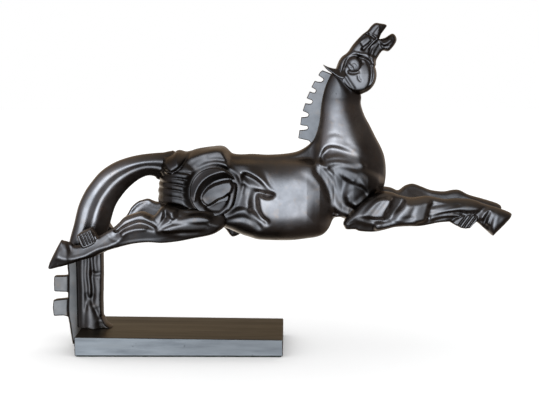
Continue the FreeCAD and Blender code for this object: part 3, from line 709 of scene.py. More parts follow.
def hind_leg(name, outline, mid, shift):
    """A hind leg round the plane y = mid, its relief moved by shift, with a tuft at the fetlock."""
    dx, dz = shift
    b = Block((-171, mid - 26, 98), (86, mid + 26, 196), 0.85)
    d = b.inside(outline)
    moved = b.shifted(dx, dz)
    half = b.along((-166 + dx, 10), (-140 + dx, 12), (-128 + dx, 11), (-86, 13), (-48, 16), (-14, 19),
        (10, 21), (40, 20), (58, 15), (80, 9))
    rim = b.along((-166, 9), (-100, 9), (-78, 5.5), (-34, 5.5), (-12, 9), (30, 11))
    side = join(rounded(d, half + 2, rim, 2.0), hind_side(moved), 1.5)
    plain = np.maximum(crest_planes(moved, half + 2.5, HIND_CREST, 0.47, 0.45), 4.0)
    outer = casting(b, d, mid, half, rim, side, power=2.0, edge=4.5, soft=1.4)
    inner = casting(b, d, mid, half, rim + 4, plain, power=2.0, edge=8.0, soft=2.0)
    leg = two_faced(b, mid, outer, inner)
    tuft = b.inside([(x + dx, z + dz) for x, z in [(-128, 150), (-124.5, 153), (-118, 156),
        (-109, 160), (-105, 153), (-101, 146), (-106, 139), (-112, 136), (-120, 133), (-124, 138)]],
        smooth=False)
    cuts = hair(moved, (-122.5, 152), (-108.5, 158), count=5, width=1.2, depth=2.6, lean=(5.0, -13.5))
    tuft = cushion(b, tuft, mid, 11.0, 3.0, relief=cuts + 0.10 * (moved.Z - 150), power=2.6)
    return add_casting(name, join(leg, tuft, 2.0), b)


FORE_NEAR = [(206, 166), (207, 160), (210, 157), (220, 157), (225, 155), (235, 154), (245, 154),
    (255, 156), (262, 158), (270, 160), (285, 161), (300, 161), (312, 163), (324, 165.5),
    (336, 166.5), (346, 167), (356, 168), (366, 168), (371, 167), (378, 161), (386, 154), (392, 149),
    (396, 152.5), (411, 168), (415, 174.5), (413.5, 178), (401, 183), (391, 186), (381, 189),
    (371, 193), (361, 195), (346, 195.5), (331, 195), (311, 199), (300, 198), (290, 197), (275, 200),
    (268, 203), (258, 205), (250, 204), (238, 198), (226, 190), (214, 178)]
FORE_CREST = [(206, 172), (226, 176), (258, 181), (290, 183), (312, 182), (345, 185), (365, 186),
    (384, 178), (400, 172), (415, 170)]
FORE_FAR = [(212, 164), (238, 157), (256, 156), (272, 159), (292, 163), (314, 167), (336, 170),
    (352, 169), (367, 170), (383, 163), (399, 154.5), (404, 158), (411, 171), (411, 180), (392, 187),
    (371, 193), (359, 199), (350, 199.5), (340, 197.5), (329, 198), (319, 200), (309, 204),
    (298, 207.5), (288, 205), (279, 199), (268, 203), (250, 203), (230, 190)]


def fore_side(b):
    """Side heights of a foreleg: forearm, knee, cannon, pastern and hoof."""
    height = b.along((204, 15), (230, 19), (262, 19.5), (290, 17.5), (310, 15), (330, 13.5),
        (350, 13), (366, 12.5), (380, 12.5), (395, 14), (415, 12.5))
    above = b.along((204, 0.34), (320, 0.34), (345, 0.14), (366, 0.18), (385, 0.34))
    t = crest_planes(b, height, FORE_CREST, above, b.along((210, 0.55), (300, 0.45), (330, 0.34)))
    # forearm: three slanting plates with shadowed faces between them
    t = plate(b, t, [(252, 172), (258, 181), (264, 190), (266, 199), (282, 197), (276, 187),
        (268, 178), (261, 170.5)], (262, 184), 16.0, -0.42, -0.10, 0.8, 2.0)
    t = plate(b, t, [(228, 176.5), (238, 189), (248, 197), (264, 198.5), (263, 190), (257, 181),
        (252, 173), (240, 173.5), (231, 175)], (246, 185), 21.0, 0.10, -0.12, 1.4, 2.6)
    t = chase(b, t, ([(237, 173), (246, 184), (255, 196)], -1.5, 3.0))
    swell = b.inside([(262, 169), (270, 177), (278, 186), (284, 196), (312, 194), (309, 180),
        (304, 168)])
    full = 17.6 + 0.02 * (b.X - 290) - 0.10 * (b.Z - 182)
    full = chase(b, full, ([(272, 171), (281, 180), (288, 190), (292, 198)], 3.6, 6.0),
        ([(294.5, 170), (296.5, 182), (299.5, 194)], 2.2, 4.5))
    t = blend(t, full, ramp(swell, 3.0))
    t = chase(b, t, ([(288.5, 174), (291, 182), (294, 190)], -0.8, 2.6),
        ([(306, 168), (309.5, 178), (314, 190)], -1.8, 4.2),
        ([(240, 171), (258, 172), (276, 172.6), (292, 172)], -1.8, 2.8))
    bar = b.off([(248, 162.5), (262, 165.5), (278, 167), (291, 166)])
    t = over(t, 13.0, roll(bar, 5.4, 5.4))
    t = t + roll(b.off([(224, 170), (236, 167), (250, 166.5)]), 3.0, 1.5)
    # cannon: a broad lit tendon between two cuts, chips below
    t = plate(b, t, [(312, 176), (326, 181.5), (340, 185.5), (352, 188.8), (365, 189.5), (374, 184),
        (362, 180.5), (346, 181), (330, 178.8), (316, 174.2)],
        (345, 184.5), 16.0, 0.04, -0.14, 1.8, 4.0)
    t = chase(b, t, ([(312, 187), (325, 189.5), (338, 191), (348, 190.5)], -2.0, 1.8),
        ([(311, 173.5), (324, 177), (338, 178.8), (354, 179)], -3.4, 1.7),
        ([(318, 169.5), (330, 173.3), (342, 174.5), (352, 174)], -2.0, 1.4),
        ([(335, 168), (344, 171), (352, 170)], -1.6, 1.2))
    t = over(t, 10.5, tent(b.off([(314, 172), (328, 175.4), (340, 176.6), (350, 176)]), 2.2, 3.2))
    # pastern folds, coronet and hoof
    t = chase(b, t, ([(366, 171), (371, 177), (379, 184), (386, 187)], -2.6, 2.0),
        ([(374, 168), (378, 176), (383, 181.5)], -2.2, 1.4),
        ([(382, 161), (382.5, 170), (386, 179), (392, 187)], -3.6, 2.2))
    fold = b.off([(376, 172), (380, 178), (385, 183), (389, 181.5), (386, 173), (384, 165)])
    t = over(t, 10.5, roll(fold, 1.9, 3.4))
    hoof = b.inside([(386.5, 148), (387, 160), (389, 170), (392.5, 179), (398, 189), (424, 182),
        (424, 156), (395, 142)], smooth=False)
    face = 15.0 - 0.05 * (b.X - 396) - 0.10 * (b.Z - 170)
    t = blend(t, face, ramp(hoof, 1.2))
    t = t + tent(b.off([(390.5, 164), (394.5, 172), (398.5, 179.5)]), 4.0, 1.2)
    return t - 0.35 * np.maximum((b.X - 401) - 0.35 * (176 - b.Z), 0)


def fore_leg(name, outline, mid, shift):
    """A foreleg round the plane y = mid, its relief moved by shift, with a tuft at the fetlock."""
    dx, dz = shift
    b = Block((200, mid - 26, 142), (420, mid + 26, 214), 0.8)
    d = b.inside(outline)
    moved = b.shifted(dx, dz)
    half = b.along((204, 15), (230, 19), (262, 19.5), (290, 17.5), (310, 15), (350, 13), (380, 12.5),
        (395, 14), (415, 12.5))
    side = join(rounded(d, half + 2, 11.0, 2.0), fore_side(moved), 1.5)
    plain = np.maximum(crest_planes(moved, half, FORE_CREST, 0.62, 0.50), 4.0)
    plain = chase(moved, plain, ([(318, 195), (334, 193), (352, 192)], 1.6, 4.0))
    outer = casting(b, d, mid, half, 11.0, side, power=2.0, edge=4.0, soft=1.5)
    inner = casting(b, d, mid, half, 11.0, plain, power=2.0, edge=4.0, soft=2.0)
    leg = two_faced(b, mid, outer, inner)
    tuft = b.inside([(x + dx, z + dz) for x, z in [(339, 166), (345, 162.5), (352, 159), (358, 158.3),
        (363, 159), (367, 163.5), (373, 168), (372, 176), (364, 178), (352, 176), (343, 171)]],
        smooth=False)
    cuts = hair(moved, (347, 160.5), (366, 160.5), count=4, width=1.25, depth=3.4, lean=(12, 17))
    tuft = cushion(b, tuft, mid, 12.5, 3.0, relief=cuts, power=2.6)
    return add_casting(name, join(leg, tuft, 2.0), b)


# ---------------------------------------------------------------- tail
ARCH_OUTER = [(-145.5, 127), (-144, 137), (-141, 148), (-138, 158), (-135, 170), (-132, 181),
    (-128, 191), (-121, 204), (-112, 216), (-103, 226), (-93, 233.5), (-82, 239.5), (-68, 244.5),
    (-53, 248), (-37, 250), (-22, 251), (-5, 251)]
ARCH_INNER = [(-5, 216), (-28, 216), (-33, 220), (-40, 221.3), (-46, 220), (-54, 216), (-63, 209),
    (-71, 201), (-78, 192), (-83, 184), (-87, 174), (-91, 160), (-96, 145), (-98, 127)]


def sculpt_arch():
    """The arched root of the tail: a rounded form that a wedge thins towards the inner edge."""
    b = Block((-150, -20, 126), (-2, 20, 256), 0.8)
    d = b.inside(ARCH_OUTER + ARCH_INNER, parts=3)
    inner, outer = b.off(ARCH_INNER), b.off(ARCH_OUTER)
    share = outer / (outer + inner + 1e-3)       # 0 at the outer edge, 1 at the inner one
    relief = np.interp(share, (0, 0.15, 0.34, 0.54, 0.60, 0.70), (0, 0.2, 1.1, -2.9, -2.0, -2.8))
    field = cushion(b, d, 0, 15.0, 11.0, relief=soften(relief, b, 1.2))
    thin, growth = 1.5, 29.0       # half thickness of the wedge: inside, and how much more outside
    wedge = np.abs(b.y) - (thin + growth * (1 - share))[:, None, :]
    wedge = wedge / np.sqrt(1 + (growth / (outer + inner + 1)) ** 2)[:, None, :]
    field = cut(both(field, wedge, 1.8), b, 126.8 - b.Z)
    return add_casting("tail_arch_bronze", field, b)


def sculpt_column():
    """The lower tail: a broad rear roll, a slim hanging one, stacked pads and a bell at the foot."""
    b = Block((-137, -21, 19), (-86, 21, 132), 0.7)
    foot = [(-131.5, 14), (-130.5, 26), (-128, 34), (-125, 44), (-122, 54), (-118.5, 61),
        (-114.5, 56), (-110, 48), (-105, 42), (-101.5, 39), (-98.5, 32), (-95.5, 28.5), (-91, 25.6),
        (-88, 24.2), (-84, 24), (-84, 14)]
    shaft = [(-139, 14), (-139, 140), (-100.6, 140), (-101, 96), (-102.4, 60), (-102, 14)]
    bell = b.inside(foot)
    d = np.maximum(b.inside(shaft, smooth=False), bell)
    t = 11.4 - 0.55 * np.maximum(-126 - b.X, 0)
    # rolls of hair with grooves between them
    t = chase(b, t, ([(-128, 10), (-128.6, 44), (-127.3, 72), (-128.3, 100), (-127, 128),
        (-128, 140)], 1.2, 3.6), ([(-118.4, 68), (-117.2, 80), (-118.8, 98), (-117.6, 118),
        (-117, 140)], 2.0, 2.5), ([(-109.6, 101), (-110.8, 110), (-109.6, 122),
        (-110.8, 138)], 1.6, 3.0), ([(-110, 56), (-108.2, 70), (-109.4, 84), (-108, 93)], 1.0, 3.2),
        ([(-122.9, 50), (-121.4, 72), (-122.8, 92), (-121.1, 112), (-121.9, 138)], -1.5, 2.2),
        ([(-114.9, 58), (-113.4, 76), (-114.8, 92), (-113.6, 104), (-115.3, 122),
        (-114.6, 138)], -2.6, 2.0), ([(-114, 97.6), (-109, 95.8), (-104, 97), (-101, 96)], -2.0, 1.8),
        ([(-104.8, 100), (-105.8, 112), (-104.8, 124), (-106, 138)], -1.0, 2.0),
        ([(-121, 69), (-117.8, 63.5), (-114, 67)], -1.8, 2.2))
    dome = b.level((20, 18.5), (28, 16.8), (38, 15.6), (52, 14), (64, 12))
    dome = dome - 0.05 * b.off([(-118.6, 64), (-117, 46), (-115, 24)]) ** 2
    t = np.maximum(t, np.minimum(dome, 8 + pillow(bell, 11, 9.5)))
    t = chase(b, t, ([(-129, 24), (-124, 27.5), (-119, 28.5)], 1.2, 2.2),
        ([(-120, 53), (-121.5, 58)], 1.2, 1.6))
    for x, z in ((-107, 55), (-104.5, 49), (-106, 43), (-103, 36), (-108.5, 35)):
        t = t + 1.1 * bump(b.away(x, z), 1.8)
    t = chase(b, t, ([(-112, 50), (-108, 43), (-103, 38)], -1.6, 1.6))
    field = casting(b, d, 0, 14.5, 7.0, t, power=2.2, edge=4.0, soft=1.6)
    field = cut(field, b, -134.2 - b.X)                          # against the blade
    field = cut(field, b, 25.25 - 3.0 * (b.X + 130) / 260 - b.Z)      # on the plinth's sloping top
    field = cut(field, b, b.Z - 130.2)                           # under the arch
    return add_casting("tail_column_bronze", field, b)


def sculpt_blade():
    """The rear plate of the tail, which runs down behind the plinth, with two square lugs."""
    b = Block((-170, -11, 0), (-128, 11, 134), 0.7)
    outline = [(-127, 132), (-145, 132), (-147, 118), (-147.3, 104), (-146.6, 96), (-147, 84),
        (-147.5, 67), (-148.5, 50), (-148, 38.5), (-146.5, 30), (-145, 18), (-143.3, 6),
        (-142.5, 2.2), (-140.5, 2.2), (-139.5, 5), (-125, 5), (-125, 90)]
    relief = 0.6 - 0.010 * np.maximum(b.X + 145, 0) ** 2
    field = cushion(b, b.inside(outline, smooth=False), 0, 8.5, 4.5, relief=relief, power=2.2)
    for lug in ([(-144, 93.6), (-152, 92.6), (-163, 92.4), (-164.6, 91), (-165.3, 82), (-165, 72.6),
            (-163.5, 71.6), (-154, 71.2), (-144, 71)], [(-144, 63.5), (-152, 62.5), (-163, 61.4),
            (-166.4, 60), (-167.6, 50), (-166.5, 40.4), (-165, 39.4), (-154, 40), (-144, 38)]):
        field = join(field, cushion(b, b.inside(lug, smooth=False), 0, 5.8, 1.8, power=2.6), 2.4)
    # its front lies against the column, and below 25.2 against the plinth; its top under the arch
    field = cut(field, b, b.X - np.where(b.Z > 25.2, -134.25, -130.15))
    field = cut(field, b, b.Z - 131.2)
    return add_casting("tail_blade_bronze", field, b)


# ---------------------------------------------------------------- head, ears and mane
# the upper head with the upper lip, and the lower jaw
SKULL = [(192, 344), (197, 357), (200, 365), (204, 371), (210, 375.5), (213, 379), (217, 385),
    (223, 392), (230, 399), (236, 403.5), (241, 409.5), (246, 413), (252, 412.3), (258, 411.2),
    (260, 409), (257, 404.5), (253, 399), (251, 394), (246, 388), (243, 378), (243, 368), (240, 340),
    (232, 326), (222, 324), (208, 330)]
JAW = [(236, 352), (246, 359), (247, 366), (250, 372), (255, 378.4), (261.5, 377.6), (266, 381),
    (270.5, 387), (272.4, 392), (271, 397), (267.5, 399.7), (263, 398), (259, 395.4), (255, 394.2),
    (251, 393.5), (245, 392), (238, 388), (234, 372)]


def head_side(b, t):
    """Models the side heights t of the head: cheek, eye boss, nose and jaw plates, muzzle, lips."""
    cheek = 21.0 - b.away(224.5, 349.5)
    dome = 17.6 - 0.0035 * ((b.X - 231) ** 2 + (b.Z - 341) ** 2)
    dome = dome - 0.013 * np.maximum(b.X - 226, 0) * np.maximum(b.Z - 350, 0)
    t = blend(t, dome - 2.0 + pillow(cheek, 5, 2.0), ramp(cheek, 1.0))
    t = chase(b, t, ([(243, 363), (244, 352), (242, 341), (237, 332)], 1.8, 2.4),
        ([(226, 371), (234, 368), (239, 360), (240.5, 350), (239.5, 340), (236, 332)], -2.4, 2.0),
        ([(224, 347.5), (224.8, 343.5), (227, 341.5)], -1.1, 1.3),
        ([(207, 350), (211.5, 342), (218.5, 332)], -1.6, 2.2))
    # eye boss in its socket, with a few crossing cuts
    boss = 10.3 - np.hypot((b.X - 217.5) * 1.05, b.Z - 361)
    lid = 14.0 + pillow(boss, 9, 4.0) + 0.22 * (b.X - 217.5) + 0.05 * (b.Z - 361)
    t = blend(t, lid, ramp(boss, 1.0))
    t = chase(b, t, ([(206.5, 352), (207.5, 360), (211, 368), (218, 372.3), (225, 370.5),
        (229.5, 364)], -2.4, 1.8), ([(211.5, 363), (214.5, 359.5), (216.5, 358),
        (218.5, 353.5)], -1.1, 1.1), ([(216, 358.5), (218, 362), (220.5, 360),
        (222.5, 355.5)], -0.9, 1.1), ([(211, 352.5), (217, 350.8), (224, 352)], -1.6, 1.8))
    t = plate(b, t, [(206.5, 351), (211.5, 352), (211.8, 358), (207.5, 359)],
        (209, 355), 14.6, 0.15, -0.1, 0.7, 1.2, smooth=False, soft=1.0)
    t = chase(b, t, ([(201.5, 361), (205, 368), (210, 373.5)], 1.0, 1.8))
    # arcs of the brow
    t = chase(b, t, ([(220, 378.5), (225, 374.6), (234, 373.8), (241, 369.5), (244, 364)], 1.5, 1.2),
        ([(228, 371.6), (235, 370.6), (240, 366)], 1.3, 0.9))
    # nose: a slim edge strip, two lit plates and the pit behind them
    t = chase(b, t, ([(213, 378), (219, 385.5), (227, 392.5), (236, 399)], -2.6, 1.5))
    t = plate(b, t, [(217.5, 379), (221, 384), (226.5, 388), (229.5, 383.5), (226, 378.5),
        (221.5, 376.5)], (223, 382), 12.6, 0.22, -0.16, 0.8, 2.4, smooth=False, soft=1.0)
    t = plate(b, t, [(226.5, 388.8), (231, 392), (236.5, 397), (239.3, 392), (235.5, 387.5),
        (229.5, 384)], (233, 390), 12.0, 0.24, -0.14, 0.8, 2.4, smooth=False, soft=1.0)
    t = plate(b, t, [(227.5, 380.5), (232, 378.6), (237.5, 381), (243.5, 387.5), (241, 390.5),
        (235.5, 386.5), (229.8, 383.3)], (235, 384), 8.6, -0.3, 0.2, 0.4, 1.0, smooth=False, soft=0.9)
    t = chase(b, t, ([(231.5, 381), (235, 384.5), (238.5, 386)], 1.6, 0.8))
    t = over(t, 10.2, roll(b.off([(230.5, 376.5), (236, 382), (241, 387.5), (247, 392.8)]), 1.5, 3.0))
    t = plate(b, t, [(240.5, 373), (246.5, 370.5), (250.5, 375.5), (254, 381), (250.5, 387),
        (245, 384), (240, 378.5)], (247, 379), 11.4, -0.28, -0.06, 0.8, 2.0, smooth=False, soft=1.0)
    t = chase(b, t, ([(243.5, 373.5), (246.5, 379), (250, 385)], -0.9, 1.2),
        ([(238, 374.5), (240.5, 381), (245.5, 386.5), (251, 389.5)], -2.4, 1.2))
    # muzzle: a cut face above, a face that turns away in front
    t = plate(b, t, [(238, 400.5), (243.5, 398.5), (250.6, 406), (250, 411.5), (245.5, 411.8),
        (240.5, 408)], (245, 405), 10.4, 0.36, -0.22, 0.6, 2.0, smooth=False, soft=1.0)
    t = plate(b, t, [(250.4, 399.5), (254, 402), (259, 409), (252, 411.5), (250.8, 406)],
        (252, 405), 9.4, -0.55, 0.1, 0.6, 1.4, smooth=False, soft=1.0)
    t = chase(b, t, ([(241.5, 400.5), (248.5, 409)], -1.0, 1.2),
        ([(235.5, 399), (240.5, 397), (245, 393.5)], -2.6, 1.5),
        ([(243, 397.2), (248, 394), (251.5, 390)], 1.8, 1.0),
        ([(244.5, 391.8), (249, 395), (252, 398)], 1.5, 0.9))
    # lower lip
    return chase(b, t, ([(254.5, 386.6), (259, 387.8), (264, 391.5)], 1.8, 2.0),
        ([(251.5, 387), (256, 383.6), (261, 384)], -2.0, 1.3))


def sculpt_head():
    """The head with its open mouth."""
    b = Block((188, -25, 320), (276, 25, 416), 0.55)
    half = b.level((325, 15), (350, 16.5), (370, 15), (380, 13), (395, 11.5), (405, 10.5), (413, 9))
    disc = 24.0 - np.hypot((b.X - 225) * 1.05, b.Z - 348.5)
    d = np.maximum(np.maximum(b.inside(SKULL), b.inside(JAW)), disc)
    rim = b.level((355, 11), (378, 8), (386, 5.5))
    side = head_side(b, rounded(d, half, rim, 2.2))
    field = casting(b, d, 0, half, rim, side, power=2.2, edge=3.0, soft=0.8)
    # the open mouth is hollow behind the lips
    mouth = b.inside([(262, 409), (254, 400), (250, 393), (254, 391.5), (264, 398)])
    field = both(field, -cushion(b, mouth, 0, 6.0, 5.0), 1.0)
    return add_casting("head_bronze", field, b)


def sculpt_ear(name, side):
    """A pointed ear laid back, rounded below and bevelled towards its upper edge."""
    b = Block((178, -22, 338), (212, 22, 364), 0.45)
    outline = [(181, 361.3), (184, 359.8), (188.5, 358), (195, 356.3), (201, 356.5), (207, 355),
        (208.5, 348), (205, 343.5), (199, 345.5), (192.5, 350), (187, 353.8), (183, 357.8)]
    d = b.inside(outline)
    half = b.along((181, 1.6), (187, 3.4), (196, 5.4), (208, 6.4))
    low = b.along((181, 360), (187, 354.5), (194, 349.5), (201, 345.5), (209, 344))
    t = half + 1.2 - 0.75 * np.maximum(b.Z - low - 1.5, 0)
    field = casting(b, d, side * 12.0, half, 5.0, np.maximum(t, 1.0), power=2.0, edge=3.0, soft=0.5)
    return add_casting(name, field, b)


def sculpt_mane():
    """The crest of the mane: a thin plate with five round-ended notches in its rear edge."""
    b = Block((146, -6, 258), (200, 6, 360), 0.5)
    outline = [(149.5, 268.8), (151, 279.2), (157, 279.6), (160.6, 280.2), (162, 282.2),
        (160.6, 284.3), (157, 284.6), (152, 285.6), (153.2, 295.6), (158, 295.8), (161.4, 296.4),
        (162.6, 298.6), (161.4, 300.6), (158, 302), (155, 303.2), (158.4, 313.2), (163, 312.4),
        (166, 312.6), (167.6, 315), (166.4, 317), (163, 318), (160, 319.4), (164, 328),
        (167.6, 326.6), (170, 326.2), (171.8, 328.4), (171, 330.4), (168, 332), (166, 333.2),
        (170.2, 341.2), (174.5, 340), (178.4, 339.8), (181.4, 342), (180.4, 344), (177, 346.4),
        (174.6, 348.2), (177, 352), (180, 354.4), (190, 350.5), (197, 346), (197, 300), (184, 262),
        (166, 262), (163, 265.6), (160, 266.4)]
    d = b.inside(outline, smooth=False)
    field = cushion(b, d, 0, b.along((150, 2.7), (176, 3.2), (196, 3.4)), 1.0, power=2.2)
    return add_casting("mane_crest_bronze", field, b, rounds=2)


# ---------------------------------------------------------------- materials
class Nodes:
    """Short names for building a node tree."""

    def __init__(self, tree):
        self.tree = tree

    def add(self, kind, inputs=(), **settings):
        node = self.tree.nodes.new(kind)
        for key, value in settings.items():
            setattr(node, key, value)
        for key, value in dict(inputs).items():
            if isinstance(value, bpy.types.NodeSocket):
                self.tree.links.new(value, node.inputs[key])
            else:
                node.inputs[key].default_value = value
        return node

    def math(self, operation, a, b=0.0, clamp=False):
        return self.add("ShaderNodeMath", {0: a, 1: b}, operation=operation,
                        use_clamp=clamp).outputs[0]

    def vector(self, operation, a, b):
        return self.add("ShaderNodeVectorMath", {0: a, 1: b}, operation=operation).outputs[0]

    def grey(self, level):
        return self.add("ShaderNodeCombineXYZ", {i: level for i in range(3)}).outputs[0]

    def range(self, value, low, high, out_low=0.0, out_high=1.0):
        return self.add("ShaderNodeMapRange", {"Value": value, "From Min": low, "From Max": high,
                                               "To Min": out_low, "To Max": out_high},
                        interpolation_type="SMOOTHSTEP").outputs[0]

    def mix(self, factor, a, b):
        return self.add("ShaderNodeMix", {0: factor, 6: a, 7: b}, data_type="RGBA").outputs[2]

    def noise(self, where, scale, detail=3.0, rough=0.5):
        return self.add("ShaderNodeTexNoise", {"Vector": where, "Scale": scale, "Detail": detail,
                                               "Roughness": rough}).outputs["Fac"]

    def finish(self, shader, colour, roughness, height, strength, distance):
        """Links a shader's colour and roughness, and a relief of the given height to its normal."""
        normal = self.add("ShaderNodeBump", {"Height": height, "Strength": strength,
                                             "Distance": distance}).outputs[0]
        for socket, value in (("Base Color", colour), ("Roughness", roughness), ("Normal", normal)):
            self.tree.links.new(value, shader.inputs[socket])


def new_material(name):
    """A new material with its node helper, its shader and the place on the object."""
    material = bpy.data.materials.new(name)
    material.use_nodes = True
    n = Nodes(material.node_tree)
    where = n.add("ShaderNodeTexCoord").outputs["Object"]
    return material, n, n.tree.nodes["Principled BSDF"], where


# Handling wear mixed with painted light: a gain above 0 brightens the patina where hands and cloths
# rubbed it and paints highlights where the light falls fullest; a gain below 0 is painted shade on
# ribs, hollows and faces turned away. Centre in the side view (mm), radius (mm), gain.
WEAR_AND_PAINTED_LIGHT = [((146, 195), (66, 52), 0.50), ((202, 282), (36, 40), 0.95), ((-95, 205), (74, 66), 0.95),
           ((46, 212), (56, 56), -0.36), ((222, 208), (34, 34), -0.34),
           ((-8, 218), (30, 40), -0.42), ((196, 333), (30, 24), -0.20), ((290, 182), (50, 30), 0.35),
           ((248, 396), (28, 28), -0.36)]


def wear_and_painted_light_gain(n, where, wear_and_light_zones):
    """A gain that varies softly over a piece: handling wear with painted highlights and painted
    shade.
    """
    parts = n.add("ShaderNodeSeparateXYZ", {0: where}).outputs
    gain = 1.0
    for (x, z), (wide, high), change in wear_and_light_zones:
        dx = n.math("MULTIPLY", n.math("SUBTRACT", parts["X"], x * MM), 1 / (wide * MM))
        dz = n.math("MULTIPLY", n.math("SUBTRACT", parts["Z"], z * MM), 1 / (high * MM))
        away = n.math("SQRT", n.math("ADD", n.math("MULTIPLY", dx, dx), n.math("MULTIPLY", dz, dz)))
        gain = n.math("ADD", gain, n.range(away, 1.15, 0.55, 0.0, change))
    return gain


def bronze(name, deep, rubbed, rough, pits=1.0, chasing=1.0, wear_and_light_zones=(), grain_along=1.0,
           turned=(0.90, 0.78, 0.66)):
    """Dark patinated bronze: mottled colour, rubbed edges, dull hollows and fine casting pits, with
    optional patches of handling wear, painted highlights and painted shade.

    deep and rubbed are the colours of the patina and of worn edges, turned is the tint at a
    grazing angle, and rough is the range of roughness."""
    material, n, shader, where = new_material(name)
    place = where
    if grain_along != 1.0:
        where = n.vector("MULTIPLY", where, (grain_along, 1.0, 1.0))

    def tinted(red, green, blue):
        return deep[0] * red, deep[1] * green, deep[2] * blue, 1

    mottle = n.noise(where, 22.0, 4.0, 0.6)
    bloom = n.noise(where, 85.0, 5.0, 0.65)
    grain = n.noise(where, 900.0, 2.0)
    point = n.add("ShaderNodeNewGeometry").outputs["Pointiness"]
    edge = n.range(point, 0.515, 0.60)
    hollow = n.range(point, 0.490, 0.42)
    tone = n.mix(n.range(mottle, 0.3, 0.7), (*deep, 1), tinted(1.35, 1.30, 1.26))
    warm = n.mix(n.range(bloom, 0.52, 0.75, 0.0, 0.5), tone, tinted(1.5, 1.2, 0.95))
    # Painted highlights and painted shade, with handling wear: the colour is scaled by a gain that
    # changes across the piece.
    if wear_and_light_zones:
        warm = n.vector("MULTIPLY", warm, n.grey(wear_and_painted_light_gain(n, where, wear_and_light_zones)))
    worn = n.mix(n.math("MULTIPLY", edge, n.range(bloom, 0.25, 0.6, 0.3, 0.8)), warm, (*rubbed, 1))
    dull = n.mix(n.math("MULTIPLY", hollow, 0.85), worn, tinted(0.35, 0.33, 0.33))
    roughness = n.range(n.noise(where, 48.0, 6.0, 0.62), 0.3, 0.72, *rough)
    roughness = n.math("ADD", roughness, n.math("MULTIPLY", hollow, 0.22), clamp=True)
    cells = n.add("ShaderNodeTexVoronoi", {"Vector": place, "Scale": 210.0,
                                           "Randomness": 1.0}).outputs["Distance"]
    sparse = n.range(n.noise(place, 60.0, 2.0), 0.60, 0.68)
    pit = n.math("MULTIPLY", n.range(cells, 0.16, 0.05), sparse)
    wave = n.noise(where, 40.0, 2.0)
    height = n.math("ADD", n.math("MULTIPLY", wave, 0.9 * chasing), n.math("MULTIPLY", grain, 0.03))
    height = n.math("ADD", height, n.math("MULTIPLY", bloom, 0.16 * chasing))
    height = n.math("SUBTRACT", height, n.math("MULTIPLY", pit, 0.5 * pits))
    n.finish(shader, dull, roughness, height, 0.55, 0.0010)
    shader.inputs["Metallic"].default_value = 1.0
    shader.inputs["Specular Tint"].default_value = (*turned, 1)
    return material


def plain_metal(name, colour, rough):
    """Turned or pressed fastener metal with fine machining lines."""
    material, n, shader, where = new_material(name)
    lines = n.add("ShaderNodeTexWave", {"Vector": where, "Scale": 420.0, "Distortion": 1.5})
    spots = n.noise(where, 160.0, 4.0)
    tone = n.mix(n.range(spots, 0.4, 0.7), (*colour, 1), tuple(c * 0.7 for c in colour) + (1,))
    n.finish(shader, tone, n.range(spots, 0.3, 0.7, rough, rough + 0.15), lines.outputs["Fac"], 0.15,
             0.0002)
    shader.inputs["Metallic"].default_value = 1.0
    return material


def felt():
    """Dense green-black felt."""
    material, n, shader, where = new_material("felt")
    fibres = n.noise(where, 1500.0, 4.0, 0.7)
    clumps = n.noise(where, 220.0, 3.0)
    tone = n.mix(clumps, (0.012, 0.022, 0.015, 1), (0.03, 0.05, 0.035, 1))
    colour = n.mix(n.range(fibres, 0.4, 0.7), tone, (0.05, 0.07, 0.055, 1))
    n.finish(shader, colour, n.range(fibres, 0.3, 0.7, 0.85, 1.0), fibres, 0.6, 0.0004)
    shader.inputs["Sheen Weight"].default_value = 0.4
    return material


